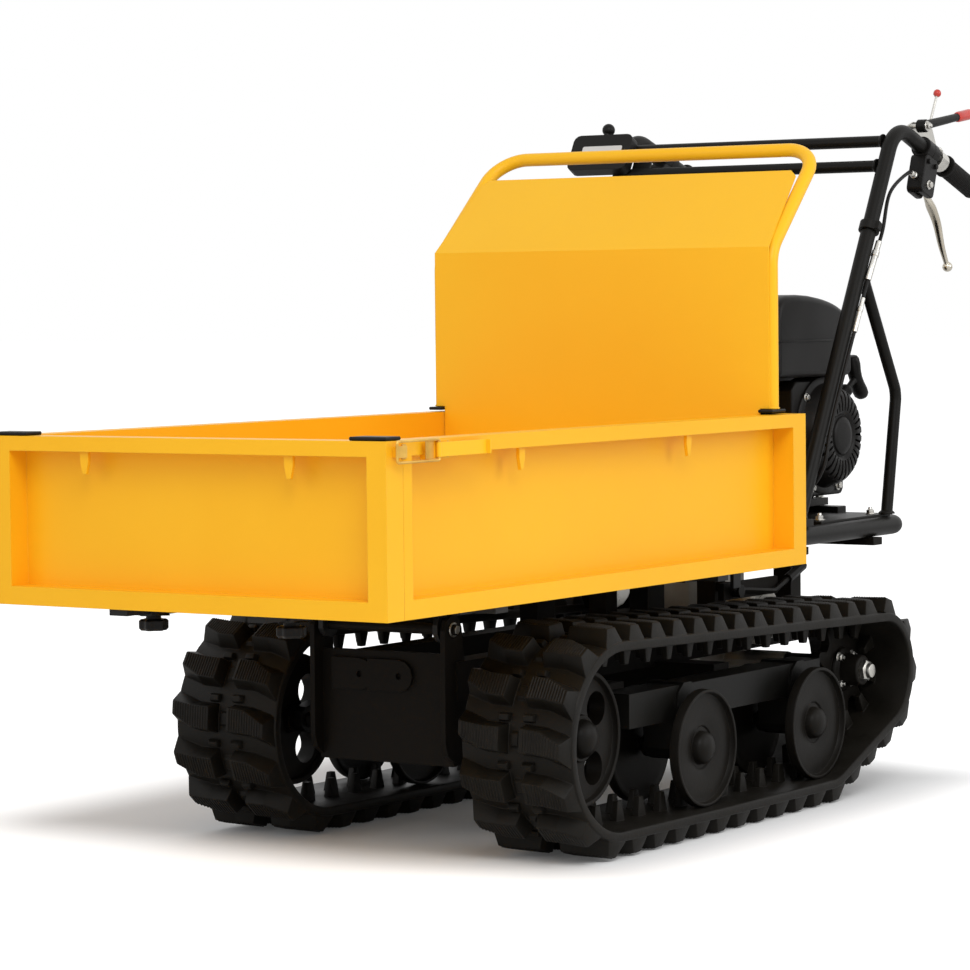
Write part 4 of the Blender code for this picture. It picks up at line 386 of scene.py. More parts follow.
def finish(name, dark, light, edge, rough, metallic=0.0, grain=(600.0, 0.0004), tone=6.0, wear=0.5,
           edge_width=0.0012, dust=(0.15, 0.0), dust_colour=(0.20, 0.17, 0.13), coat=0.0, detail=0.5,
           specular=0.5, lower=None):
    """A procedural finish: drifting colour, worn edges, settled dust and a grained surface.

    lower gives a (height, colour) for what lies under that height, as for the black underside.
    """
    material = blank_material(name)
    tree = material.node_tree
    grained = use_group(tree, GRAIN, (-900, -300), Scale=grain[0], Tone_Scale=tone, Detail_Share=detail)
    edges = use_group(tree, EDGE, (-900, 0), Width=edge_width, Amount=wear)
    dusty = use_group(tree, DUST, (-900, -600), Upper_Amount=dust[0], Low_Amount=dust[1])
    drift = node(tree, "ShaderNodeMapRange", (-650, -300))
    drift.inputs["From Min"].default_value = 0.30
    drift.inputs["From Max"].default_value = 0.70
    wire(tree, grained, "Tone", drift, "Value")
    base = colour_mix(tree, (-400, 200), (drift, 0), dark, light)
    worn = colour_mix(tree, (-200, 200), (edges, "Edge"), (base, 2), edge)
    if lower:
        spot = node(tree, "ShaderNodeTexCoord", (-900, 500))
        parts = node(tree, "ShaderNodeSeparateXYZ", (-700, 500))
        under = node(tree, "ShaderNodeMath", (-500, 500), operation="LESS_THAN")
        under.inputs[1].default_value = lower[0]
        wire(tree, spot, "Object", parts, 0)
        wire(tree, parts, "Z", under, 0)
        worn = colour_mix(tree, (-100, 400), (under, 0), (worn, 2), lower[1])
    covered = colour_mix(tree, (0, 200), (dusty, "Dust"), (worn, 2), dust_colour)
    gloss = node(tree, "ShaderNodeMapRange", (-400, -100))
    gloss.inputs["From Min"].default_value = 0.3
    gloss.inputs["From Max"].default_value = 0.7
    gloss.inputs["To Min"].default_value = rough[0]
    gloss.inputs["To Max"].default_value = rough[1]
    wire(tree, grained, "Tone", gloss, "Value")
    bump = node(tree, "ShaderNodeBump", (0, -300), Strength=0.6, Distance=grain[1])
    wire(tree, grained, "Height", bump, "Height")
    wire(tree, edges, "Normal", bump, "Normal")
    shader = node(tree, "ShaderNodeBsdfPrincipled", (300, 100))
    shader.inputs["Metallic"].default_value = metallic
    shader.inputs["Specular IOR Level"].default_value = specular
    shader.inputs["Coat Weight"].default_value = coat
    shader.inputs["Coat Roughness"].default_value = 0.18
    out = node(tree, "ShaderNodeOutputMaterial", (600, 100))
    tree.links.new(covered.outputs[2], shader.inputs["Base Color"])
    wire(tree, gloss, 0, shader, "Roughness")
    wire(tree, bump, "Normal", shader, "Normal")
    wire(tree, shader, 0, out, "Surface")
    return material


# %% Paints
YELLOW_LOOK = dict(
    rough=(0.36, 0.44), grain=(380.0, 0.00035), tone=2.2, wear=0.35, dust=(0.02, 0.0), coat=0.04,
    specular=0.22,
)
# The same powder coat as the gates, mixed lighter: painted light for the brighter light that falls on the headboard
# and its rail
PAINTED_LIGHTER_YELLOW = finish(
    "golden_powder_coat_painted_lighter", (0.960, 0.500, 0.010), (0.985, 0.540, 0.016), (0.99, 0.64, 0.08),
    **YELLOW_LOOK,
)
BLACK = finish("black_powder_coat", (0.0045, 0.0042, 0.0036), (0.0080, 0.0074, 0.0062),
               (0.045, 0.042, 0.036), (0.36, 0.48),
               grain=(420.0, 0.0004), tone=5.0, wear=0.3, dust=(0.015, 0.0), specular=0.13)
PLATE_BROWN = finish("matt_dark_plate", (0.0050, 0.0040, 0.0029), (0.0078, 0.0064, 0.0048),
                     (0.030, 0.026, 0.021), (0.55, 0.68),
                     grain=(300.0, 0.0006), tone=4.0, wear=0.20, dust=(0.02, 0.01), specular=0.10)
WHEEL = finish("black_wheel_paint", (0.0050, 0.0042, 0.0032), (0.0088, 0.0074, 0.0058),
               (0.060, 0.055, 0.046), (0.40, 0.52),
               grain=(260.0, 0.0005), tone=9.0, wear=0.45, dust=(0.02, 0.01), specular=0.11)

# %% Rubber and plastics
RUBBER = finish("track_rubber", (0.0046, 0.0038, 0.0027), (0.0088, 0.0074, 0.0052),
                (0.030, 0.026, 0.020), (0.42, 0.58),
                grain=(220.0, 0.0009), tone=14.0, wear=0.4, edge_width=0.0015, dust=(0.03, 0.04),
                dust_colour=(0.040, 0.034, 0.024), specular=0.15)
GRIP = finish("hand_grip_rubber", (0.0050, 0.0046, 0.0040), (0.0090, 0.0082, 0.0072),
              (0.032, 0.030, 0.026), (0.55, 0.70),
              grain=(700.0, 0.0004), tone=20.0, wear=0.3, dust=(0.01, 0.0), specular=0.14)
PLASTIC = finish("moulded_black_plastic", (0.0050, 0.0045, 0.0041), (0.0084, 0.0076, 0.0070),
                 (0.036, 0.033, 0.030), (0.34, 0.46),
                 grain=(900.0, 0.0003), tone=7.0, wear=0.25, dust=(0.015, 0.0), specular=0.16)
RED = finish("red_plastic", (0.52, 0.022, 0.012), (0.64, 0.035, 0.018), (0.75, 0.14, 0.09), (0.30, 0.42),
             grain=(700.0, 0.0003), tone=18.0, wear=0.3, dust=(0.04, 0.0), coat=0.2)
PALE_PLATE = finish("pale_bare_plate", (0.60, 0.59, 0.57), (0.68, 0.67, 0.65), (0.72, 0.71, 0.69),
                    (0.40, 0.55),
                    grain=(500.0, 0.0002), tone=12.0, wear=0.2, dust=(0.05, 0.0))

# %% Metals
CAST = finish("engine_casting", (0.016, 0.015, 0.014), (0.032, 0.030, 0.028), (0.16, 0.15, 0.14),
              (0.42, 0.58), metallic=0.5,
              grain=(240.0, 0.0010), tone=10.0, wear=0.6, dust=(0.06, 0.0), specular=0.25)
GREY_CAST = finish("bare_grey_casting", (0.30, 0.29, 0.265), (0.44, 0.42, 0.385), (0.58, 0.56, 0.52),
                   (0.36, 0.52), metallic=0.7,
                   grain=(260.0, 0.0008), tone=12.0, wear=0.6, dust=(0.20, 0.0))
ZINC = finish("bright_zinc", (0.50, 0.49, 0.46), (0.68, 0.66, 0.61), (0.82, 0.80, 0.76), (0.24, 0.42),
              metallic=1.0,
              grain=(700.0, 0.0003), tone=26.0, wear=0.5, dust=(0.10, 0.0))
GOLD_ZINC = finish("gold_zinc", (0.62, 0.33, 0.045), (0.86, 0.53, 0.11), (0.95, 0.72, 0.30),
                   (0.26, 0.42), metallic=0.75,
                   grain=(600.0, 0.0003), tone=24.0, wear=0.6, dust=(0.10, 0.0))
POLISHED = finish("polished_alloy", (0.52, 0.47, 0.38), (0.70, 0.66, 0.57), (0.84, 0.81, 0.74),
                  (0.14, 0.28), metallic=1.0,
                  grain=(500.0, 0.0003), tone=14.0, wear=0.5, dust=(0.0, 0.0))
HOT_STEEL = finish("heat_darkened_steel", (0.010, 0.009, 0.008), (0.022, 0.018, 0.015),
                   (0.10, 0.08, 0.06), (0.45, 0.62),
                   metallic=0.4, grain=(300.0, 0.0007), tone=9.0, wear=0.6, dust=(0.05, 0.0), specular=0.2)
print("finishes", len(bpy.data.materials))

# %% [markdown]
# ## Dressing the CAD pieces
#
# Many CAD pieces already have the right shape: the gates, the floor, the chassis and the
# brackets. They stay where they are and only get a finish, plus a small bevel modifier. Folded
# and welded steel never has a perfectly sharp edge, and the bevel catches a thin highlight
# along each one, as the photograph shows on the tray.

# %% Give a CAD node its finish
def dress(material, *names, bevel=0.0, segments=2):
    for name in names:
        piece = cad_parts[name]
        for entry in piece.material_slots:
            entry.material = material
        if bevel:
            edges = piece.modifiers.new("soft_edges", "BEVEL")
            edges.width = bevel
            edges.segments = segments
            edges.limit_method = "ANGLE"
            edges.angle_limit = math.radians(38)
            edges.harden_normals = True
    print("dressed", len(names), "with", material.name)


def sides(name):
    return [name + "_left", name + "_right"]


# The gates are yellow down to their lower edge, and the slide bars below it are black
# This is the plain mix of the tray's powder coat; the headboard's lighter mix of the same paint is painted light
TRAY_YELLOWS = ((0.925, 0.455, 0.008), (0.960, 0.495, 0.013), (0.99, 0.60, 0.07))
BAR_BLACK = (0.008, 0.0075, 0.007)
GATE_PAINT = finish("gate_powder_coat", *TRAY_YELLOWS, lower=(0.3727, BAR_BLACK), **YELLOW_LOOK)
FLOOR_PAINT = finish("floor_powder_coat", *TRAY_YELLOWS, lower=(0.3762, BAR_BLACK), **YELLOW_LOOK)
dress(GATE_PAINT, "front_gate", *sides("side_gate"), bevel=0.0010)
dress(FLOOR_PAINT, "tray_floor", bevel=0.0010)
# The headboard takes the lighter mix of the yellow, which is painted light for its brighter lighting
dress(PAINTED_LIGHTER_YELLOW, "headboard", bevel=0.0006)
dress(PLASTIC, *sides("corner_cap"), *sides("rail_foot_cap"), bevel=0.0006)
dress(BLACK, *sides("track_frame"), "tip_lock_lever", bevel=0.0010)
dress(PLATE_BROWN, "chassis_frame", bevel=0.0010)
dress(CAST, "crankcase", "cylinder", bevel=0.0008)
dress(GREY_CAST, "transaxle", bevel=0.0010)
dress(HOT_STEEL, "muffler", bevel=0.0030)
dress(PLASTIC, "air_cleaner", "control_panel", bevel=0.0015)
dress(BLACK, "belt_guard", bevel=0.0008)
dress(ZINC, "engine_pulley", "gearbox_pulley", "lever_bracket")
dress(RUBBER, "drive_belt")
# The latch levers take the lighter mix of the yellow too, so they carry the same painted light
dress(PAINTED_LIGHTER_YELLOW, *sides("latch_lever"), bevel=0.0004)
dress(GOLD_ZINC, *sides("latch_bail"))

# %% [markdown]
# ## Tools for new pieces
#
# Almost everything added below is one of four shapes: a profile turned on a lathe, a section
# swept along a bent line, an outline given thickness, or a block that tapers from its foot to
# its crown. Each is written straight into a bmesh. Curves with a bevel would do for the tubes,
# but a swept section can also be flattened and thinned, which the cast levers need.

# %% Turned, swept and extruded shapes
UP = Vector((0, 0, 1))
ACROSS = Vector((1, 0, 0))
FRONT_Y = -0.925


def at(x, back, z):
    """A point from its distance left of centre, distance back from the tray front, and height."""
    return Vector((x, FRONT_Y + back, z))


def frame_at(place, axis, side=None):
    """A matrix at a place whose local Z is the axis and whose local X is near the side."""
    axis = Vector(axis).normalized()
    side = Vector(side) if side is not None else axis.orthogonal()
    side = (side - axis * side.dot(axis)).normalized()
    turn = Matrix((side, axis.cross(side), axis)).transposed().to_4x4()
    return Matrix.Translation(place) @ turn


def bridge(bm, first, second, closed=True):
    """Faces between two rings; a ring of one vertex makes a fan."""
    count = max(len(first), len(second))
    for i in range(count if closed else count - 1):
        j = (i + 1) % count
        if len(first) == 1:
            bm.faces.new((first[0], second[j], second[i]))
        elif len(second) == 1:
            bm.faces.new((first[i], first[j], second[0]))
        else:
            bm.faces.new((first[i], first[j], second[j], second[i]))


def lathe(bm, place, profile, steps=48, closed=False):
    """Spin (radius, height) points about the local Z of a placing matrix."""
    rings = []
    for radius, height in profile:
        if radius < 1e-6:
            rings.append([bm.verts.new(place @ Vector((0, 0, height)))])
            continue
        turns = [2 * math.pi * i / steps for i in range(steps)]
        rings.append([bm.verts.new(place @ Vector((radius * math.cos(t), radius * math.sin(t),
                height))) for t in turns])
    for first, second in zip(rings, rings[1:]):
        bridge(bm, first, second)
    if closed:
        bridge(bm, rings[-1], rings[0])


def sweep(bm, points, sizes, around=24, side=ACROSS):
    """A section of half width and half depth (a pair, or one radius) carried along points."""
    rings = []
    last = len(points) - 1
    for i, point in enumerate(points):
        along = (points[min(i + 1, last)] - points[max(i - 1, 0)]).normalized()
        side = (side - along * side.dot(along)).normalized()
        over = along.cross(side)
        size = sizes[i] if isinstance(sizes, (list, tuple)) else sizes
        wide, deep = size if isinstance(size, tuple) else (size, size)
        turns = [2 * math.pi * k / around for k in range(around)]
        rings.append([bm.verts.new(point + side * (wide * math.cos(t)) + over * (deep * math.sin(t))) for t in turns])
    for first, second in zip(rings, rings[1:]):
        bridge(bm, first, second)
    bm.faces.new(reversed(rings[0]))
    bm.faces.new(rings[-1])


def prism(bm, place, outline, low, high, crown=None):
    """An outline in the local XY plane raised from low to high; the crown outline may differ."""
    foot = [bm.verts.new(place @ Vector((u, v, low))) for u, v in outline]
    top = [bm.verts.new(place @ Vector((u, v, high))) for u, v in (crown or outline)]
    bm.faces.new(reversed(foot))
    bm.faces.new(top)
    bridge(bm, foot, top)


def brick(bm, place, size):
    half = Vector(size) / 2
    outline = [(-half.x, -half.y), (half.x, -half.y), (half.x, half.y), (-half.x, half.y)]
    prism(bm, place, outline, -half.z, half.z)


def ring_points(radius, count, centre=(0.0, 0.0), first=0.0):
    turns = [first + 2 * math.pi * i / count for i in range(count)]
    return [(centre[0] + radius * math.cos(t), centre[1] + radius * math.sin(t)) for t in turns]


def bent(points, bend, steps=10):
    """A line through the points with each inner corner rounded to the bend radius."""
    path = [Vector(points[0])]
    for before, corner, after in zip(points, points[1:], points[2:]):
        inward = (before - corner).normalized()
        outward = (after - corner).normalized()
        half = inward.angle(outward) / 2
        centre = corner + (inward + outward).normalized() * (bend / math.sin(half))
        first = (corner + inward * (bend / math.tan(half)) - centre).normalized()
        last = (corner + outward * (bend / math.tan(half)) - centre).normalized()
        path += [centre + first.slerp(last, i / steps) * bend for i in range(steps + 1)]
    path.append(Vector(points[-1]))
    return path


# %% Finish a new piece: mesh, smoothing, edges, finish and the body it rides on
def made(name, bm, material, body, slot, replaced=(), bevel=0.0, sharp=35):
    bmesh.ops.recalc_face_normals(bm, faces=bm.faces)
    mesh = bpy.data.meshes.new(name)
    bm.to_mesh(mesh)
    bm.free()
    mesh.materials.append(material)
    mesh.shade_smooth()
    mesh.set_sharp_from_angle(angle=math.radians(sharp))
    piece = bpy.data.objects.new(name, mesh)
    bpy.context.scene.collection.objects.link(piece)
    if bevel:
        edges = piece.modifiers.new("soft_edges", "BEVEL")
        edges.width = bevel
        edges.segments = 2
        edges.limit_method = "ANGLE"
        edges.angle_limit = math.radians(sharp)
        edges.harden_normals = True
    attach(piece, body)
    if replaced:
        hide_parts(*replaced)
    print(name, len(mesh.vertices), "points")
    return piece


# %% [markdown]
# ## The rubber tracks
#
# A track is a closed band of rubber round four wheels. Outside it has 38 tread bars, each in
# two slanting halves with a channel between them. Their crowns are finely ribbed and their
# feet flare out along the belt's edge. Inside stand two rows of guide horns. The belt's line
# is arcs and tangents, worked out from the wheels' places. One link is made once, bevelled,
# and then copied to 38 stations along that line, which keeps every link the same.

# %% The belt's line
GAP = 0.0003
TRACK_X = 0.25
BELT_THICK = 0.014
LINK_COUNT = 38
HORN_RISE = 0.028
SPROCKET = (1.345, 0.187, 9 * 0.060 / (2 * math.pi) - BELT_THICK / 2)
IDLER = (0.5465, 0.1645, 0.097)
ROLLER_Z = 0.022 + BELT_THICK + 0.086 + GAP + 0.0010
ROLLERS = ((0.820, ROLLER_Z, 0.086), (1.165, ROLLER_Z, 0.086))


def belt_arcs():
    """(centre, radius, start angle, end angle) of each arc, running over the top first."""
    circles = [
        (IDLER[0], IDLER[1], IDLER[2] + GAP + HORN_RISE), SPROCKET,
        (ROLLERS[1][0], ROLLERS[1][1], ROLLERS[1][2] + GAP),
    (ROLLERS[0][0], ROLLERS[0][1], ROLLERS[0][2] + GAP),
    ]
    leaving = []
    for i, (u, v, radius) in enumerate(circles):
        nu, nv, next_radius = circles[(i + 1) % len(circles)]
        away = math.atan2(nv - v, nu - u)
        leaving.append(away + math.acos((radius - next_radius) / math.hypot(nu - u, nv - v)))
    arcs = []
    for i, (u, v, radius) in enumerate(circles):
        start, end = leaving[i - 1], leaving[i]
        while end > start:
            end -= 2 * math.pi
        while end < start - 2 * math.pi:
            end += 2 * math.pi
        arcs.append((u, v, radius, start, end))
    return arcs


ARCS = belt_arcs()


def arc_point(arc, angle):
    return Vector((arc[0] + arc[2] * math.cos(angle), arc[1] + arc[2] * math.sin(angle)))


def straight_after(i):
    first, second = ARCS[i], ARCS[(i + 1) % len(ARCS)]
    return arc_point(first, first[4]), arc_point(second, second[3])


BELT_LENGTH = sum(arc[2] * (arc[3] - arc[4]) for arc in ARCS)
BELT_LENGTH += sum((end - start).length for start, end in (straight_after(i) for i in range(len(ARCS))))


def belt_frame(distance, x):
    """Local axes at a distance along the belt: X across, Y along, Z out of the inner face."""
    for i, arc in enumerate(ARCS):
        length = arc[2] * (arc[3] - arc[4])
        if distance <= length:
            angle = arc[3] - distance / arc[2]
            spot = arc_point(arc, angle)
            break
        distance -= length
        start, end = straight_after(i)
        if distance <= (end - start).length:
            angle = arc[4]
            spot = start.lerp(end, distance / (end - start).length)
            break
        distance -= (end - start).length
    normal = Vector((0, math.cos(angle), math.sin(angle)))
    along = normal.cross(ACROSS)
    turn = Matrix((ACROSS, along, normal)).transposed().to_4x4()
    return Matrix.Translation(at(x, spot.x, spot.y)) @ turn


print("belt length", round(BELT_LENGTH, 4), "pitch", round(BELT_LENGTH / LINK_COUNT, 5))

# %% One link of the belt
LUG_TOP = BELT_THICK + 0.0213
RIB_RISE = 0.0012
RIB_PITCH = 0.0046


def lug_outlines(side):
    """Foot and crown of one half bar: square near the channel, then slanting to the edge."""
    slant = -side * 0.0135
    foot = [(0.012, -0.0215, 0.0), (0.048, -0.0215, 0.15), (0.0885, -0.0235, 1.0),
            (0.0885, 0.0235, 1.0), (0.048, 0.0215, 0.15), (0.012, 0.0215, 0.0)]
    crown = [(0.0165, -0.0172, 0.0), (0.048, -0.0166, 0.15), (0.0825, -0.0100, 1.0),
             (0.0825, 0.0100, 1.0), (0.048, 0.0166, 0.15), (0.0165, 0.0172, 0.0)]
    return [[(side * u, v + slant * share) for u, v, share in shape] for shape in (foot, crown)]


def bevelled_block(foot, crown, low, high, width):
    bm = bmesh.new()
    prism(bm, Matrix.Identity(4), foot, low, high, crown)
    bmesh.ops.recalc_face_normals(bm, faces=bm.faces)
    bmesh.ops.bevel(bm, geom=bm.edges[:], offset=width, segments=2, profile=0.6, affect="EDGES")
    return bm


def absorb(bm, other, place=None):
    """Move the shapes of another bmesh into this one."""
    if place is not None:
        other.transform(place)
    holder = bpy.data.meshes.new("holder")
    other.to_mesh(holder)
    other.free()
    bm.from_mesh(holder)
    bpy.data.meshes.remove(holder)


def link_mesh():
    bm = bmesh.new()
    for side in (1, -1):
        foot, crown = lug_outlines(side)
        absorb(bm, bevelled_block(foot, crown, BELT_THICK - 0.005, LUG_TOP, 0.0022))
        # Fine ribs along the crown, in the direction of travel
        count = 13
        for i in range(count):
            u = 0.0215 + RIB_PITCH * i
            share = max(0.0, (u - 0.046) / 0.0365)
            middle = -side * 0.0135 * (0.15 * min(1.0, (u - 0.0175) / 0.0285) + 0.85 * share)
            half = 0.0158 - 0.0068 * share
            place = Matrix.Translation((side * u, middle, LUG_TOP))
            rib = [(-0.0013, -half), (0.0013, -half), (0.0013, half), (-0.0013, half)]
            prism(bm, place, rib, -0.0006, RIB_RISE, [(a * 0.55, b * 0.96) for a, b in rib])
        # A low shoulder on the web between the bars, next to the channel
        shoulder = [
            (side * 0.0105, 0.0235), (side * 0.030, 0.0235), (side * 0.030, 0.0360),
            (side * 0.0105, 0.0360),
        ]
        inset = [
            (side * 0.0125, 0.0255), (side * 0.027, 0.0255), (side * 0.027, 0.0340),
            (side * 0.0125, 0.0340),
        ]
        absorb(bm, bevelled_block(shoulder, inset, BELT_THICK - 0.003, BELT_THICK + 0.0045, 0.0010))
        # The guide horn, with its rounded nose
        horn = [(side * 0.022 + a, b) for a, b in ((-0.0065, -0.0120), (0.0065, -0.0120),
                (0.0065, 0.0120), (-0.0065, 0.0120))]
        nose = [(side * 0.022 + a, b) for a, b in ((-0.0046, -0.0054), (0.0046, -0.0054),
                (0.0046, 0.0054), (-0.0046, 0.0054))]
        absorb(bm, bevelled_block(horn, nose, 0.003, -HORN_RISE, 0.0016))
    # The steel core shows as a small raised seat in the channel at each link
    seat = [(-0.0085, -0.013), (0.0085, -0.013), (0.0085, 0.013), (-0.0085, 0.013)]
    absorb(
        bm,
        bevelled_block(
            seat, [(u * 0.6, v * 0.62) for u, v in seat], BELT_THICK - 0.003, BELT_THICK + 0.0052,
            0.0012,
        ),
    )
    mesh = bpy.data.meshes.new("track_link")
    bm.to_mesh(mesh)
    bm.free()
    return mesh


LINK = link_mesh()
print("one link", len(LINK.vertices), "points")


# %% The band and all its links
def band_section():
    """The band's cut face: (across, out) points with rounded corners."""
    half, corner = 0.0899, 0.0032
    section = []
    for sign_u, sign_v, first in ((1, 1, 0), (-1, 1, 90), (-1, -1, 180), (1, -1, 270)):
        centre_u = sign_u * (half - corner)
        centre_v = BELT_THICK / 2 + sign_v * (BELT_THICK / 2 - corner)
        for step in range(4):
            turn = math.radians(first + 30 * step)
            section.append((centre_u + corner * math.cos(turn), centre_v + corner * math.sin(turn)))
    return section


def track(name, x):
    bm = bmesh.new()
    section = band_section()
    stations = LINK_COUNT * 5
    rings = []
    for i in range(stations):
        place = belt_frame(BELT_LENGTH * i / stations, x)
        rings.append([bm.verts.new(place @ Vector((u, 0, v))) for u, v in section])
    for i in range(stations):
        bridge(bm, rings[i], rings[(i + 1) % stations])
    for i in range(LINK_COUNT):
        copy = bmesh.new()
        copy.from_mesh(LINK)
        absorb(bm, copy, belt_frame(BELT_LENGTH * (i + 0.5) / LINK_COUNT, x))
    return made(name.replace("belt", "band"), bm, RUBBER, "chassis", "track_rubber", [name], sharp=30)


track("track_belt_left", TRACK_X)
track("track_belt_right", -TRACK_X)

# %% [markdown]
# ## Wheels inside the tracks
#
# The rollers are pressed steel dishes in pairs: a rolled rim, a dished web and a domed hub
# cap. The idler in front is one narrow wheel with four round holes. A lathe profile with many
# steps gives the true curves, and an exact Boolean cuts the holes, since a lathe can't.

# %% Rollers and idlers
WHEEL_STEPS = 72


def dish(bm, x, back, z, outward, radius, cap):
    """One dished disc; outward is 1 or -1 along X."""
    place = frame_at(at(x, back, z), (outward, 0, 0))
    rim = radius - 0.0002
    profile = [
        (0.0, 0.0155), (cap * 0.35, 0.0150), (cap * 0.70, 0.0125), (cap * 0.94, 0.0080), (cap, 0.0040),
        (cap + 0.0010, 0.0),
        (cap + 0.0015, -0.0035), (cap + 0.0070, -0.0040), (cap + 0.0090, -0.0015), (radius * 0.62, 0.0020),
        (radius - 0.0150, 0.0008), (radius - 0.0070, 0.0016), (radius - 0.0055, 0.0050),
        (radius - 0.0048, 0.0092),
        (radius - 0.0030, 0.0100), (rim - 0.0006, 0.0094), (rim, 0.0078), (rim, -0.0045),
        (rim - 0.0015, -0.0060),
        (radius - 0.0060, -0.0060), (radius - 0.0075, -0.0055), (radius - 0.0140, -0.0046),
    (0.020, -0.0060), (0.0, -0.0060),
    ]
    lathe(bm, place, profile, WHEEL_STEPS)


def wheel(name, x, back, z, radius, cap, body):
    bm = bmesh.new()
    for outward in (1, -1):
        dish(bm, x + outward * 0.055, back, z, outward, radius, cap)
    axle = frame_at(at(x - 0.050, back, z), ACROSS)
    lathe(bm, axle, [(0.0, 0.0), (0.010, 0.0), (0.010, 0.100), (0.0, 0.100)], 24)
    collar = [(0.0100, 0.010), (0.017, 0.010), (0.018, 0.012), (0.018, 0.020), (0.0100, 0.020)]
    lathe(bm, axle, collar, 32)
    lathe(bm, axle, [(r, 0.100 - h) for r, h in collar], 32)
    return made(name + "_wheel", bm, WHEEL, body, "wheel_paint", [name], sharp=40)


for side_name, sign in (("left", 1), ("right", -1)):
    for place_name, (back, z, radius) in zip(("front", "rear"), ROLLERS):
        name = f"roller_{place_name}_{side_name}"
        wheel(name, sign * TRACK_X, back, z, radius, 0.0235, name)


# %% Cut a shape out of a finished piece
def carve(piece, cutter_bm, sharp=40):
    """Take the cutter's shape out of the piece with an exact Boolean, applied at once."""
    bmesh.ops.recalc_face_normals(cutter_bm, faces=cutter_bm.faces)
    mesh = bpy.data.meshes.new("cutter")
    cutter_bm.to_mesh(mesh)
    cutter_bm.free()
    cutter = bpy.data.objects.new("cutter", mesh)
    bpy.context.scene.collection.objects.link(cutter)
    cutting = piece.modifiers.new("cut", "BOOLEAN")
    cutting.operation = "DIFFERENCE"
    cutting.solver = "EXACT"
    cutting.object = cutter
    while piece.modifiers[0] != cutting:
        piece.modifiers.move(len(piece.modifiers) - 1, 0)
    bpy.context.view_layer.update()
    later = [m for m in piece.modifiers if m != cutting]
    for modifier in later:
        modifier.show_viewport = False
    graph = bpy.context.evaluated_depsgraph_get()
    result = bpy.data.meshes.new_from_object(piece.evaluated_get(graph))
    for modifier in later:
        modifier.show_viewport = True
    piece.modifiers.remove(cutting)
    piece.data = result
    result.set_sharp_from_angle(angle=math.radians(sharp))
    bpy.data.objects.remove(cutter, do_unlink=True)
    return piece


# %% Idlers: one narrow wheel each, running on the guide horns' tips
def idler(name, x):
    outward = 1 if x > 0 else -1
    back, z, radius = IDLER
    place = frame_at(at(x, back, z), (outward, 0, 0), (0, 1, 0))
    bm = bmesh.new()
    lathe(bm, place, [
        (0.0, 0.0400), (0.008, 0.0394), (0.016, 0.0366), (0.022, 0.0322), (0.0262, 0.0265),
        (0.0270, 0.0215), (0.0285, 0.0200),
        (0.0320, 0.0205), (0.0332, 0.0190), (0.0340, 0.0152), (0.0400, 0.0140), (0.080, 0.0140),
        (0.0885, 0.0152),
        (0.0900, 0.0180), (0.0908, 0.0232), (0.0925, 0.0240), (0.0955, 0.0240), (0.0968, 0.0228),
        (radius, 0.0205),
        (radius, -0.0205), (0.0968, -0.0228), (0.0955, -0.0240), (0.0900, -0.0240), (0.0890, -0.0225),
        (0.0885, -0.0130),
        (0.0850, -0.0120), (0.0220, -0.0120), (0.0205, -0.0135), (0.0200, -0.0240), (0.0100, -0.0240),
        (0.0100, -0.0500),
        (0.0088, -0.0510), (0.0, -0.0510),
    ], WHEEL_STEPS)
    piece = made(name + "_wheel", bm, WHEEL, name, "wheel_paint", [name], sharp=40)
    holes = bmesh.new()
    for i in range(4):
        turn = math.radians(90 * i + 39)
        spot = place @ Vector((0.0595 * math.cos(turn), 0.0595 * outward * math.sin(turn), -0.03))
        lathe(
            holes, frame_at(spot, (outward, 0, 0)),
            [(0.0, 0.0), (0.0242, 0.0), (0.0242, 0.06), (0.0, 0.06)], 40,
        )
    return carve(piece, holes)


idler("idler_left", TRACK_X)
idler("idler_right", -TRACK_X)


# %% Sprockets: nine rounded teeth, a hub and its nuts
def sprocket(name, x):
    outward = 1 if x > 0 else -1
    place = frame_at(at(x, SPROCKET[0], SPROCKET[1]), (outward, 0, 0), (0, 1, 0))
    tip = SPROCKET[2] - 0.0006
    outline = []
    for i in range(9):
        for share, drop in ((-0.40, 0.0215), (-0.30, 0.0190), (-0.20, 0.0080), (-0.13, 0.0015), (-0.06, 0.0),
                            (0.06, 0.0), (0.13, 0.0015), (0.20, 0.0080), (0.30, 0.0190), (0.40, 0.0215)):
            turn = 2 * math.pi * (i + share) / 9
            outline.append(((tip - drop) * math.cos(turn), (tip - drop) * math.sin(turn)))
    bm = bmesh.new()
    prism(bm, place, outline, -0.008, 0.008)
    lathe(
        bm, place,
        [
            (0.0, 0.0), (0.034, 0.0), (0.036, 0.010), (0.034, 0.014), (0.026, 0.017), (0.024, 0.045),
            (0.022, 0.047), (0.0, 0.047),
        ],
        48,
    )
    lathe(
        bm, place,
        [(0.0, -0.088), (0.022, -0.088), (0.022, -0.014), (0.034, -0.010), (0.036, 0.0), (0.0, 0.0)],
        48,
    )
    wheel_piece = made(name + "_toothed", bm, WHEEL, name, "wheel_paint", [name], bevel=0.0012)
    return wheel_piece, place


SPROCKET_PLACES = {name: sprocket(name, x)[1] for name,
        x in (("sprocket_left", TRACK_X), ("sprocket_right", -TRACK_X))}
print("wheels done")

# %% [markdown]
# ## Fasteners
#
# Small bolts and nuts are what tells the eye how big the machine is. One function makes a
# washer, a hexagonal head with its chamfered crown, and for a nut the stub of thread. They are
# gathered into one piece for each body that carries them, so they move with it.

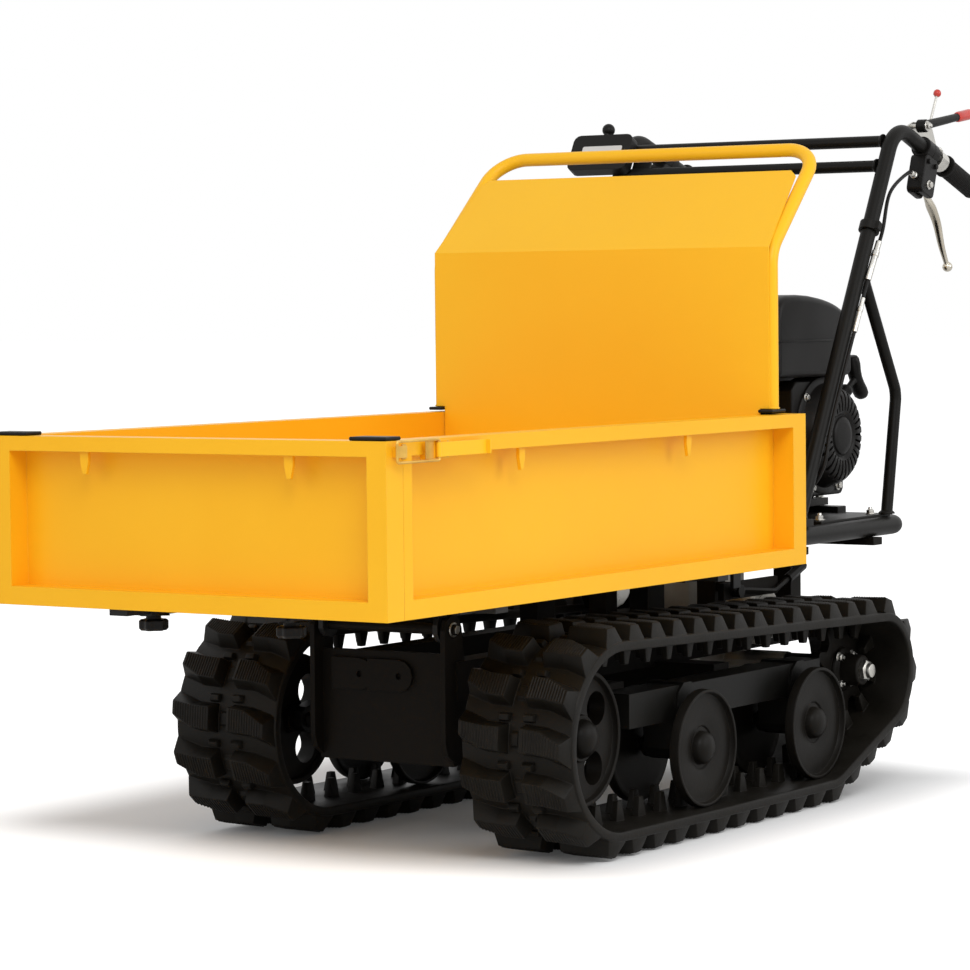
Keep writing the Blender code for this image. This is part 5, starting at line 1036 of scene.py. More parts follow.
# %% Bolts
def bolt(bm, place, axis, across=0.013, height=0.006, washer=True, stub=0.0):
    """A hexagon head or nut; across is the distance over its corners."""
    spot = frame_at(place, axis)
    radius = across / 2
    base = 0.0
    if washer:
        lathe(
            bm, spot,
            [
                (0.0, 0.0), (radius * 1.38, 0.0), (radius * 1.42, 0.0006), (radius * 1.36, 0.0014),
                (0.0, 0.0014),
            ],
            28,
        )
        base = 0.0013
    hexagon = ring_points(radius, 6)
    prism(bm, spot, hexagon, base, base + height * 0.82)
    prism(bm, spot, hexagon, base + height * 0.82, base + height, ring_points(radius * 0.84, 6))
    if stub:
        lathe(bm, spot, [(0.0, 0.0), (radius * 0.52, 0.0), (radius * 0.52, base + height + stub - 0.001),
                         (radius * 0.42, base + height + stub), (0.0, base + height + stub)], 20)


def sprocket_nuts(name, place):
    bm = bmesh.new()
    centre = place.translation
    outward = place.to_3x3() @ UP
    lathe(
        bm, place,
        [
            (0.0, 0.046), (0.0115, 0.046), (0.0115, 0.060), (0.0105, 0.0625), (0.006, 0.0635),
            (0.0, 0.0635),
        ],
        32,
    )
    bolt(bm, centre + outward * 0.0465, outward, 0.034, 0.009, washer=False)
    for i in range(4):
        turn = math.radians(45 + 90 * i)
        spot = place @ Vector((0.0295 * math.cos(turn), 0.0295 * math.sin(turn), 0.0135))
        bolt(bm, spot, outward, 0.012, 0.006, stub=0.004)
    made(name + "_nuts", bm, ZINC, name, "wheel_paint")


for name, place in SPROCKET_PLACES.items():
    sprocket_nuts(name, place)

# %% [markdown]
# ## Tubes and sheet at the rear
#
# The handle, the headboard's rail, the struts and the deck loop are round tube, bent in a
# bender. The CAD tubes are many-sided, so each is swept again round a finer circle along the
# same line. Weld beads and clamp plates show how the tubes are held.

# %% The headboard's rail
DECK_TOP = 0.424
RAIL_CLEAR = 0.01205
rail_kink_z = 0.8525 - RAIL_CLEAR * math.tan(math.atan2(1.212 - 1.035 - RAIL_CLEAR, 1.004 - 0.8525) / 2)


def headboard_rail():
    back = 1.035 + RAIL_CLEAR
    half = [at(0.299, back, 0.6093), at(0.299, back, rail_kink_z), at(0.293, 1.212, 1.004)]
    points = half + [Vector((-p.x, p.y, p.z)) for p in reversed(half)]
    bm = bmesh.new()
    sweep(bm, bent(points, 0.055, 14), 0.0105, 32)
    # The rail takes the lighter mix of the yellow, which is painted light
    made("headboard_rail_tube", bm, PAINTED_LIGHTER_YELLOW, "tray", "yellow_paint", ["headboard_rail"])
    # Short stays weld the rail to the sheet, and a round ring sits at each foot
    stays = bmesh.new()
    for sign in (1, -1):
        for z in (0.66, 0.80):
            brick(stays, Matrix.Translation(at(sign * 0.294, 1.0412, z)), (0.010, 0.0100, 0.030))
        lathe(
            stays, frame_at(at(sign * 0.299, back, 0.6094), UP),
            [(0.0105, 0.0), (0.0122, 0.0004), (0.0120, 0.0022), (0.0105, 0.0032)], 32, closed=True,
        )
    # The welds share the rail's lighter mix of the yellow, which is painted light
    made("headboard_rail_welds", stays, PAINTED_LIGHTER_YELLOW, "tray", "yellow_paint", bevel=0.0012)


headboard_rail()

# %% Handle frames
SLOPE = math.radians(19)
HANDLE_X = 0.25
FOOT_BACK, BEND_BACK, BEND_Z = 1.212, 1.556, 1.056
END_BACK = 1.85 - 0.017 * math.sin(SLOPE)
END_Z = BEND_Z - (END_BACK - BEND_BACK) * math.tan(SLOPE)


def handle_points(sign):
    return [
        at(sign * HANDLE_X, FOOT_BACK, 0.4203), at(sign * HANDLE_X, BEND_BACK, BEND_Z),
        at(sign * HANDLE_X, END_BACK, END_Z),
    ]


def grip_frame(sign=1):
    """Axes at the handle's bend: X across, Y along the grip, Z square to it."""
    return Matrix.Translation(handle_points(sign)[1]) @ Matrix.Rotation(-SLOPE, 4, "X")


def tube_frame(share, x=0.0):
    """Axes on the handle tube's line: X across, Y behind it, Z up the tube."""
    foot, bend = handle_points(1)[:2]
    up = (bend - foot).normalized()
    turn = Matrix((ACROSS, up.cross(ACROSS), up)).transposed().to_4x4()
    centre = foot.lerp(bend, share)
    return Matrix.Translation((x, centre.y, centre.z)) @ turn


def rounded_outline(width, height, corner, steps=5):
    points = []
    for sign_u, sign_v, first in ((1, 1, 0), (-1, 1, 90), (-1, -1, 180), (1, -1, 270)):
        for step in range(steps + 1):
            turn = math.radians(first + 90 * step / steps)
            points.append((sign_u * (width / 2 - corner) + corner * math.cos(turn),
                           sign_v * (height / 2 - corner) + corner * math.sin(turn)))
    return points


HOUSING_ALONG = 0.120
PIVOT_LOCAL = Vector((0, HOUSING_ALONG, -0.0125 - 0.066 + 0.018))


def handle_side(side_name, sign):
    foot, bend, end = handle_points(sign)
    up = (bend - foot).normalized()
    slope = (end - bend).normalized()
    bm = bmesh.new()
    sweep(bm, bent([foot + up * 0.004, bend, end - slope * 0.005], 0.055, 16), 0.0125, 32)
    # The weld where the tube meets its shoe
    lathe(
        bm, frame_at(foot + up * 0.014, up),
        [(0.0125, 0.0), (0.0148, 0.001), (0.0150, 0.003), (0.0138, 0.005), (0.0125, 0.0062)], 32,
        closed=True,
    )
    made(f"handle_tube_{side_name}_bent", bm, BLACK, "chassis", "black_paint", [f"handle_tube_{side_name}"])
    shoe = bmesh.new()
    middle = at(sign * HANDLE_X, FOOT_BACK + 0.005, 0.4203)
    prism(shoe, Matrix.Translation(middle), rounded_outline(0.032, 0.050, 0.004), 0.0, 0.012)
    made(f"handle_shoe_{side_name}", shoe, BLACK, "chassis", "black_paint", bevel=0.0012)
    # A clamp band part way up, with its screw, and the lever's housing under the grip
    clamp = bmesh.new()
    band = tube_frame(0.735, sign * HANDLE_X)
    lathe(
        clamp, band,
        [
            (0.0125, -0.008), (0.0165, -0.008), (0.0170, -0.0074), (0.0170, 0.0074), (0.0165, 0.008),
            (0.0125, 0.008),
        ],
        40, closed=True,
    )
    brick(clamp, band @ Matrix.Translation((sign * 0.016, -0.004, 0)), (0.010, 0.012, 0.014))
    made(f"clamp_band_{side_name}", clamp, BLACK, "chassis", "black_paint", bevel=0.0008)
    frame_here = grip_frame(sign)
    block = bmesh.new()
    centre = frame_here @ Matrix.Translation((0, HOUSING_ALONG, -0.0125 - 0.033))
    sideways = centre @ Matrix(((0, 0, 1, 0), (1, 0, 0, 0), (0, 1, 0, 0), (0, 0, 0, 1)))
    foot_outline = rounded_outline(0.046, 0.066, 0.009)
    prism(block, sideways, foot_outline, -0.0145, 0.0145)
    housing = made(f"lever_housing_{side_name}", block, PLASTIC, "chassis", "black_paint", bevel=0.0030)
    cutter = bmesh.new()
    brick(cutter, centre @ Matrix.Translation((0, 0.014, -0.027)), (0.0090, 0.060, 0.048))
    carve(housing, cutter)
    rings = bmesh.new()
    collar = frame_at(frame_here @ Vector((0, HOUSING_ALONG - 0.020, 0)), slope)
    lathe(rings, collar, [(0.0125, 0.0), (0.0168, 0.0), (0.0178, 0.001), (0.0178, 0.019),
                          (0.0170, 0.0198), (0.0170, 0.0206),
                          (0.0178, 0.0214), (0.0178, 0.039), (0.0168, 0.040), (0.0125, 0.040)], 40,
                                  closed=True)
    for place in (-0.013, 0.013):
        bolt(
            rings, frame_here @ Vector((sign * 0.0148, HOUSING_ALONG + place, -0.024)), ACROSS * sign,
            0.009, 0.004, washer=False,
        )
    made(f"lever_collar_{side_name}", rings, PLASTIC, "chassis", "black_paint")
    # The screw that the steering lever turns on
    screw = bmesh.new()
    pivot = frame_here @ PIVOT_LOCAL
    for outward in (1, -1):
        bolt(screw, pivot + ACROSS * (outward * 0.0146), ACROSS * outward, 0.011, 0.005)
    made(f"lever_screw_{side_name}", screw, ZINC, "chassis", "zinc_steel")


def grip(side_name, sign):
    """A moulded hand grip: a flange, shallow finger rings and a rounded end."""
    start = handle_points(sign)[2]
    slope = (handle_points(sign)[2] - handle_points(sign)[1]).normalized()
    place = frame_at(start - slope * 0.115, slope)
    profile = [
        (0.0129, 0.0), (0.0182, 0.0), (0.0190, 0.0010), (0.0190, 0.0045), (0.0180, 0.0058),
        (0.0160, 0.0066),
    ]
    for i in range(20):
        foot = 0.0085 + i * 0.0049
        profile += [(0.0158, foot), (0.0166, foot + 0.0009), (0.0166, foot + 0.0031), (0.0158, foot + 0.0040)]
    profile += [(0.0166, 0.1085), (0.0168, 0.1115), (0.0152, 0.1140), (0.0115, 0.1150), (0.0, 0.1150)]
    bm = bmesh.new()
    lathe(bm, place, profile, 40)
    made(f"grip_{side_name}_ribbed", bm, GRIP, "chassis", "track_rubber", [f"grip_{side_name}"], sharp=50)


for side_name, sign in (("left", 1), ("right", -1)):
    handle_side(side_name, sign)
    grip(side_name, sign)

# %% Struts and cross bars
def strut(side_name, sign):
    foot, bend = handle_points(sign)[:2]
    up = (bend - foot).normalized()
    meet = foot.lerp(bend, 0.628)
    behind = Vector((0, up.z, -up.y))
    start = meet + behind * 0.0100
    path = bent([start, at(sign * HANDLE_X, 1.556, 0.620), at(sign * HANDLE_X, 1.520, 0.4243)], 0.04, 12)
    bm = bmesh.new()
    sweep(bm, path, 0.0095, 28)
    along = (path[1] - path[0]).normalized()
    lathe(
        bm, frame_at(start + along * 0.001, along),
        [(0.0095, 0.0), (0.0120, 0.001), (0.0124, 0.003), (0.0112, 0.0050), (0.0095, 0.0062)], 28,
        closed=True,
    )
    base = frame_at(at(sign * HANDLE_X, 1.520, 0.4243), UP)
    lathe(
        bm, base, [(0.0095, 0.0), (0.0135, 0.0), (0.0132, 0.0022), (0.0110, 0.0042), (0.0095, 0.0052)],
        28, closed=True,
    )
    made(f"strut_{side_name}_bent", bm, BLACK, "chassis", "black_paint", [f"strut_{side_name}"])


strut("left", 1)
strut("right", -1)


def crossbars():
    inner = HANDLE_X - 0.0125
    bm = bmesh.new()
    for share in (0.957, 0.893):
        place = frame_at(tube_frame(share, -inner).translation, ACROSS)
        lathe(bm, place, [(0.0, 0.0), (0.0118, 0.0), (0.0120, 0.002), (0.0104, 0.0048),
                          (0.0095, 0.0060), (0.0095, 2 * inner - 0.006),
                          (0.0104, 2 * inner - 0.0048), (0.0120, 2 * inner - 0.002),
                                  (0.0118, 2 * inner), (0.0, 2 * inner)], 32)
    made("crossbars_round", bm, BLACK, "chassis", "black_paint", ["crossbars"])
    gusset = bmesh.new()
    middle = tube_frame((0.957 + 0.893) / 2)
    brick(gusset, middle @ Matrix.Translation((-inner + 0.026, 0, 0)), (0.034, 0.006, 0.046))
    made("crossbar_gusset", gusset, BLACK, "chassis", "black_paint", bevel=0.0012)


crossbars()

# %% The engine deck: loop, plate with its belt slot, runners and bolts
def engine_deck():
    bm = bmesh.new()
    corners = [
        at(0.25, 1.165, 0.405), at(0.25, 1.585, 0.405), at(-0.25, 1.585, 0.405),
        at(-0.25, 1.165, 0.405),
    ]
    path = bent(corners, 0.055, 14)
    sweep(bm, path, 0.015, 32, side=UP)
    made("deck_loop", bm, BLACK, "chassis", "black_paint", ["engine_deck"])
    plate = bmesh.new()
    slot = (-0.161, -0.121)
    outline = [(0.247, FRONT_Y + 1.300), (0.247, FRONT_Y + 1.540), (-0.247, FRONT_Y + 1.540),
               (-0.247, FRONT_Y + 1.300),
               (slot[0], FRONT_Y + 1.300), (slot[0], FRONT_Y + 1.456), (slot[0] + 0.006, FRONT_Y + 1.462),
               (slot[1] - 0.006, FRONT_Y + 1.462), (slot[1], FRONT_Y + 1.456), (slot[1], FRONT_Y + 1.300)]
    prism(plate, Matrix.Translation((0, 0, 0)), outline, DECK_TOP - 0.009, DECK_TOP)
    for back in (1.345, 1.512):
        brick(plate, Matrix.Translation(at(0.065, back + 0.015, DECK_TOP + 0.0042)), (0.200, 0.030, 0.0122))
    made("deck_plate", plate, BLACK, "chassis", "black_paint", bevel=0.0015)
    # End plugs close the loop's two open ends
    plugs = bmesh.new()
    for sign in (1, -1):
        lathe(
            plugs, frame_at(at(sign * 0.25, 1.1655, 0.405), (0, -1, 0)),
            [(0.0, 0.0), (0.0146, 0.0), (0.0146, 0.0012), (0.0130, 0.0026), (0.0, 0.0032)], 32,
        )
    made("deck_loop_plugs", plugs, PLASTIC, "chassis", "black_plastic")
    bolts = bmesh.new()
    places = ((0.120, 1.372), (0.228, 1.330), (0.228, 1.505), (-0.045, 1.372),
              (0.120, 1.537), (-0.045, 1.537), (-0.228, 1.330), (-0.228, 1.505))
    for x, back in places:
        if abs(x) < 0.2:
            back -= 0.006 if back < 1.4 else 0.004
            bolt(bolts, at(x, back, DECK_TOP + 0.0103 + 0.0125), UP, 0.014, 0.007, stub=0.004)
        else:
            bolt(bolts, at(x, back, DECK_TOP), UP, 0.013, 0.006, stub=0.004)
    for sign in (1, -1):
        bolt(bolts, at(sign * 0.25, 1.199, 0.4323), UP, 0.012, 0.006)
    made("deck_bolts", bolts, ZINC, "chassis", "zinc_steel")


engine_deck()
print("rear frames done")

# %% [markdown]
# ## The engine's covers
#
# The recoil starter's cover is the most detailed face on the machine's left side: thin slots
# fan out from a bare boss, and a black T grip hangs from its rope guide. The tank is a
# moulding with a seam round its middle.

# %% Recoil cover
CRANK = at(0, 1.460, 0.553)


def recoil_cover():
    bm = bmesh.new()
    face = frame_at(CRANK + Vector((0.1256, 0, 0)), ACROSS, UP)
    lathe(bm, face, [
        (0.0, 0.0800), (0.020, 0.0800), (0.0275, 0.0792), (0.0300, 0.0775), (0.0312, 0.0745),
        (0.0335, 0.0735),
        (0.0365, 0.0760), (0.0400, 0.0785), (0.0500, 0.0792), (0.0620, 0.0780), (0.0700, 0.0745),
        (0.0760, 0.0680),
        (0.0800, 0.0590), (0.0828, 0.0500), (0.0850, 0.0450), (0.0930, 0.0435), (0.0952, 0.0425),
        (0.0960, 0.0400),
        (0.0960, 0.0240), (0.0945, 0.0225), (0.0945, 0.0205), (0.0960, 0.0190), (0.0960, 0.0005),
    (0.0, 0.0005),
    ], 96)
    cover = made("recoil_cover", bm, PLASTIC, "chassis", "black_plastic", ["recoil_housing"], sharp=32)
    slots = bmesh.new()
    for i in range(30):
        turn = face @ Matrix.Rotation(2 * math.pi * (i + 0.5) / 30, 4, "Z")
        outline = [(0.0405, -0.0016), (0.0720, -0.0030), (0.0740, 0.0), (0.0720, 0.0030), (0.0405, 0.0016)]
        prism(slots, turn, outline, 0.062, 0.09)
    return carve(cover, slots, 32)


recoil_cover()


def recoil_body():
    """The fan housing behind the cover, its skirt and cowl, and the rope guide."""
    bm = bmesh.new()
    sideways = Matrix(((0, 0, 1, 0), (1, 0, 0, 0), (0, 1, 0, 0), (0, 0, 0, 1)))
    place = Matrix.Translation(CRANK + Vector((0.1256, 0, 0))) @ sideways
    skirt = [
        (-0.092, -0.090), (-0.084, -0.098), (0.062, -0.098), (0.070, -0.090), (0.070, -0.010),
        (-0.092, -0.010),
    ]
    prism(bm, place, skirt, 0.0005, 0.0415)
    cowl = [(-0.102, 0.0), (0.020, 0.0), (0.020, 0.078), (0.008, 0.090), (-0.088, 0.090), (-0.102, 0.076)]
    prism(bm, place, cowl, 0.0005, 0.0395)
    made("fan_housing", bm, PLASTIC, "chassis", "black_plastic", bevel=0.0040)
    guide = bmesh.new()
    along = Vector((0, math.cos(math.radians(30)), math.sin(math.radians(30))))
    start = at(0.172, 1.460 + 0.050, 0.553 + 0.060)
    lathe(
        guide, frame_at(start - along * 0.024, along),
        [
            (0.0, 0.0), (0.0098, 0.0), (0.0100, 0.040), (0.0112, 0.042), (0.0114, 0.047),
            (0.0104, 0.0490), (0.0062, 0.0490), (0.0058, 0.0450), (0.0, 0.0450),
        ],
        32,
    )
    screws = bmesh.new()
    for turn in (50, 135, 225, 310):
        angle = math.radians(turn)
        spot = CRANK + Vector((0.1256 + 0.0436, 0.0893 * math.cos(angle), 0.0893 * math.sin(angle)))
        bolt(screws, spot, ACROSS, 0.010, 0.0045)
    bolt(screws, at(0.169, 1.415, 0.470), ACROSS, 0.012, 0.005)
    bolt(screws, at(0.169, 1.505, 0.470), ACROSS, 0.012, 0.005)
    made("rope_guide", guide, PLASTIC, "chassis", "black_plastic")
    made("recoil_screws", screws, ZINC, "chassis", "zinc_steel")


recoil_body()


def recoil_grip():
    along = Vector((0, math.cos(math.radians(30)), math.sin(math.radians(30))))
    across = Vector((0, along.z, -along.y))
    mouth = at(0.172, 1.460 + 0.050, 0.553 + 0.060) + along * 0.0253
    centre = mouth + along * 0.042
    bm = bmesh.new()
    shares = [-1.0, -0.97, -0.86, -0.62, -0.3, 0.0, 0.3, 0.62, 0.86, 0.97, 1.0]
    widths = [0.0070, 0.0100, 0.0126, 0.0134, 0.0120, 0.0114, 0.0120, 0.0134, 0.0126, 0.0100, 0.0070]
    path = [centre + across * (0.039 * share) - along * (0.005 * (1 - share * share)) for share in shares]
    sweep(bm, path, [(w, w * 0.86) for w in widths], 28)
    stem = [mouth + along * (0.042 * t) for t in (0.0, 0.2, 0.5, 0.8, 0.95)]
    sweep(bm, stem, [0.0036, 0.0046, 0.0050, 0.0066, 0.0090], 24)
    made("starter_grip", bm, PLASTIC, "recoil_handle", "black_plastic", ["recoil_handle"], sharp=50)


recoil_grip()

# %% Fuel tank and cap
def fuel_tank():
    low = CRANK.z + 0.096
    front, rear = 1.275, 1.526
    top = [(0.066, 0.069), (0.061, 0.083), (0.055, 0.093), (0.046, 0.1045), (0.035, 0.1128),
           (0.018, 0.1190), (0.0, 0.124),
           (-0.020, 0.1280), (-0.040, 0.131), (-0.075, 0.135), (-0.112, 0.1366), (-0.148, 0.135),
           (-0.160, 0.1315),
           (-0.168, 0.1275), (-0.1735, 0.123), (-0.178, 0.1170), (-0.1815, 0.111), (-0.185, 0.096)]
    side = [(1.460 + along, low + rise * 0.966) for along, rise in [(-0.185, 0.0), (0.066, 0.0)] + top]
    sideways = Matrix(((0, 0, 1, 0), (1, 0, 0, 0), (0, 1, 0, 0), (0, 0, 0, 1)))
    bm = bmesh.new()
    prism(bm, Matrix.Translation(at(0.076, 0, 0)) @ sideways, side, -0.111, 0.111)
    made(
        "fuel_tank_shell", bm, PLASTIC, "chassis", "black_plastic", ["fuel_tank"], bevel=0.011,
        sharp=42,
    ).modifiers[0].segments = 6
    # The moulding's seam runs round the tank, with feet and a neck for the cap
    seam = bmesh.new()
    prism(
        seam, Matrix.Translation(at(0.076, (front + rear) / 2, low + 0.0585)),
        rounded_outline(0.2268, rear - front + 0.0050, 0.014), -0.0016, 0.0016,
    )
    made("fuel_tank_seam", seam, PLASTIC, "chassis", "black_plastic", bevel=0.0008)
    neck = bmesh.new()
    spot = frame_at(at(0.085, 1.390, low + 0.128), UP)
    lathe(
        neck, spot,
        [(0.0, 0.0), (0.030, 0.0), (0.0295, 0.0040), (0.0225, 0.0068), (0.0220, 0.0110), (0.0, 0.0110)],
        48,
    )
    brick(neck, Matrix.Translation(at(0.060, 1.455, 0.633)), (0.080, 0.090, 0.034))
    made("fuel_tank_neck", neck, PLASTIC, "chassis", "black_plastic")
    cap = bmesh.new()
    cap_seat = frame_at(at(0.085, 1.390, low + 0.1393), UP)
    lathe(
        cap, cap_seat,
        [
            (0.0, 0.0180), (0.016, 0.0180), (0.0185, 0.0172), (0.0200, 0.0160), (0.0240, 0.0160),
            (0.0262, 0.0145), (0.0268, 0.0120), (0.0272, 0.0004), (0.0, 0.0004),
        ],
        64,
    )
    for i in range(26):
        turn = cap_seat @ Matrix.Rotation(2 * math.pi * i / 26, 4, "Z")
        prism(
            cap, turn, [(0.0262, -0.0013), (0.0280, -0.0008), (0.0280, 0.0008), (0.0262, 0.0013)],
            0.0012, 0.0128,
        )
    made("fuel_cap_ribbed", cap, PLASTIC, "fuel_cap", "black_plastic", ["fuel_cap"])


fuel_tank()
print("engine covers done")

# %% [markdown]
# ## Hand controls
#
# These small pieces sit against the white background, so their outlines count. The steering
# levers are polished castings, wide at the pivot and thin towards a ball. The clutch lever
# ends in a red grip, and the throttle is a thin rod with a red knob on a plated bracket.

# %% A smooth line through chosen points
def flowing(points, spacing=0.006):
    chosen = [Vector(p) for p in points]
    chosen = [2 * chosen[0] - chosen[1], *chosen, 2 * chosen[-1] - chosen[-2]]
    path = []
    for p0, p1, p2, p3 in zip(chosen, chosen[1:], chosen[2:], chosen[3:]):
        count = max(3, round((p2 - p1).length / spacing))
        for i in range(count):
            t = i / count
            slope = (p2 - p0) + (2 * p0 - 5 * p1 + 4 * p2 - p3) * t + (3 * p1 - p0 - 3 * p2 + p3) * t * t
            path.append(p1 + slope * (t / 2))
    path.append(chosen[-2])
    return path


def shares_of(path):
    """How far along its path each point lies, from 0 to 1."""
    lengths = [0.0]
    for first, second in zip(path, path[1:]):
        lengths.append(lengths[-1] + (second - first).length)
    return [length / lengths[-1] for length in lengths]


def ball(bm, centre, radius, axis=UP, steps=32):
    rows = [(radius * math.sin(math.pi * i / 14), -radius * math.cos(math.pi * i / 14)) for i in range(15)]
    lathe(
        bm, frame_at(centre, axis),
        [(max(r, 0.0) if 0 < i < 14 else 0.0, h) for i, (r, h) in enumerate(rows)], steps,
    )


# %% Steering levers
def steering_lever(side_name, sign):
    pivot = grip_frame(sign) @ PIVOT_LOCAL
    places = [(-0.004, 0.004), (0.022, -0.020), (0.056, -0.058), (0.076, -0.100), (0.098, -0.134)]
    path = flowing([pivot + Vector((0, y, z)) for y, z in places])
    sizes = []
    for share in shares_of(path):
        spread = min(1.0, max(0.0, (share - 0.17) / 0.16))
        wide = 0.0041 + spread * (0.0050 - 0.0052 * max(0.0, share - 0.33) / 0.67)
        sizes.append((wide, 0.0072 - 0.0034 * min(1.0, share * 1.4)))
    bm = bmesh.new()
    sweep(bm, path, sizes, 24)
    ball(bm, path[-1], 0.0085)
    lathe(
        bm, frame_at(pivot - ACROSS * 0.0041, ACROSS),
        [(0.0, 0.0), (0.0100, 0.0), (0.0105, 0.0006), (0.0105, 0.0076), (0.0100, 0.0082), (0.0, 0.0082)],
        36,
    )
    made(
        f"steering_lever_{side_name}_cast", bm, POLISHED, f"steering_lever_{side_name}",
        "polished_lever", [f"steering_lever_{side_name}"],
    )


steering_lever("left", 1)
steering_lever("right", -1)

# %% Clutch lever with its red grip
GRIP_AXES = grip_frame(1)
CLUTCH_LOCAL = Vector((0.0, 0.095, 0.034))
THROTTLE_LOCAL = Vector((-0.0265, 0.165, 0.048))


def clutch_lever():
    places = [(0.0, 0.0), (0.030, 0.016), (0.065, 0.034), (0.115, 0.060), (0.158, 0.082)]
    path = flowing([GRIP_AXES @ (CLUTCH_LOCAL + Vector((0, y, z))) for y, z in places])
    bm = bmesh.new()
    sweep(bm, path, [(0.0062, 0.0078 - 0.0016 * share) for share in shares_of(path)], 24)
    lathe(
        bm, frame_at(GRIP_AXES @ CLUTCH_LOCAL - ACROSS * 0.0078, ACROSS),
        [(0.0, 0.0), (0.0100, 0.0), (0.0108, 0.0008), (0.0108, 0.0148), (0.0100, 0.0156), (0.0, 0.0156)],
        36,
    )
    made("clutch_arm", bm, BLACK, "clutch_lever", "black_paint", ["clutch_lever"])
    red = bmesh.new()
    end = [p for p, share in zip(path, shares_of(path)) if share > 0.70]
    along = (end[-1] - end[-2]).normalized()
    end.append(end[-1] + along * 0.0022)
    widths = [(0.0082, 0.0090)] * len(end)
    widths[0] = (0.0072, 0.0080)
    widths[-1] = (0.0056, 0.0062)
    sweep(red, end, widths, 28)
    made("clutch_grip", red, RED, "clutch_lever", "black_paint", bevel=0.0010)
    pin = bmesh.new()
    bolt(pin, GRIP_AXES @ (CLUTCH_LOCAL + Vector((0.0080, 0, 0))), ACROSS, 0.012, 0.005, stub=0.003)
    made("clutch_nut", pin, ZINC, "clutch_lever", "black_paint")


clutch_lever()


def throttle():
    pivot = GRIP_AXES @ THROTTLE_LOCAL
    tip = GRIP_AXES @ (THROTTLE_LOCAL + Vector((0, 0.014, 0.078)))
    along = (tip - pivot).normalized()
    bm = bmesh.new()
    sweep(bm, flowing([pivot, pivot.lerp(tip, 0.5), tip - along * 0.004]), 0.0022, 16)
    lathe(
        bm, frame_at(pivot - ACROSS * 0.003, ACROSS),
        [(0.0, 0.0), (0.0078, 0.0), (0.0080, 0.0005), (0.0080, 0.0055), (0.0078, 0.006), (0.0, 0.006)],
        32,
    )
    made("throttle_rod", bm, ZINC, "throttle_lever", "zinc_steel", ["throttle_lever"])
    knob = bmesh.new()
    lathe(
        knob, frame_at(tip - along * 0.0065, along),
        [
            (0.0, 0.0), (0.0034, 0.0), (0.0040, 0.0014), (0.0062, 0.0034), (0.0066, 0.0066),
            (0.0058, 0.0098), (0.0036, 0.0122), (0.0, 0.0130),
        ],
        32,
    )
    made("throttle_knob", knob, RED, "throttle_lever", "zinc_steel", sharp=60)
    screws = bmesh.new()
    bolt(screws, GRIP_AXES @ Vector((-0.0230, 0.165, 0.030)), -ACROSS, 0.010, 0.004, stub=0.002)
    bolt(screws, GRIP_AXES @ Vector((-0.0230, 0.110, 0.030)), -ACROSS, 0.010, 0.004, stub=0.002)
    bolt(screws, GRIP_AXES @ Vector((-0.0230, 0.185, 0.024)), -ACROSS, 0.010, 0.004, stub=0.002)
    bolt(screws, GRIP_AXES @ Vector((0.0, 0.165, 0.0165)), GRIP_AXES.to_3x3() @ UP, 0.010, 0.004)
    made("bracket_screws", screws, ZINC, "chassis", "zinc_steel")


throttle()

# %% Gear lever and the panel's bare plate
def gear_controls():
    panel = tube_frame(0.930)
    pivot = Vector((-0.295, -0.0125 + 0.0075 + 0.0003, -0.012))
    bm = bmesh.new()
    place = panel @ Matrix.Translation(pivot)
    up = place.to_3x3() @ UP
    behind = place.to_3x3() @ Vector((0, 1, 0))
    sweep(
        bm,
        flowing([place.translation, place.translation + up * 0.03, place.translation + up * 0.064]),
        0.0035, 20,
    )
    ball(bm, place.translation + up * 0.072, 0.0110, up)
    lathe(
        bm, frame_at(place.translation + up * 0.0585, up),
        [(0.0, 0.0), (0.0052, 0.0), (0.0058, 0.0030), (0.0064, 0.0060), (0.0, 0.0060)], 28,
    )
    lathe(
        bm, frame_at(place.translation - behind * 0.005, behind),
        [(0.0, 0.0), (0.0085, 0.0), (0.0090, 0.0006), (0.0090, 0.0094), (0.0085, 0.010), (0.0, 0.010)],
        32,
    )
    made("gear_stick", bm, PLASTIC, "gear_lever", "black_plastic", ["gear_lever"], sharp=50)
    sign_plate = bmesh.new()
    face = panel @ Matrix.Translation((-0.281, -0.0125 - 0.010 - 0.0003, 0))
    turned = face @ Matrix(((1, 0, 0, 0), (0, 0, 1, 0), (0, -1, 0, 0), (0, 0, 0, 1)))
    prism(
        sign_plate, turned @ Matrix.Translation((0.004, 0.004, 0)),
        rounded_outline(0.078, 0.030, 0.003), -0.0114, -0.0106,
    )
    made("panel_plate", sign_plate, PALE_PLATE, "chassis", "black_plastic", bevel=0.0003)


gear_controls()

# %% Cables and their adjusters
def beside_tube(share, aside, behind):
    return tube_frame(share) @ Vector((HANDLE_X + aside, behind, 0))


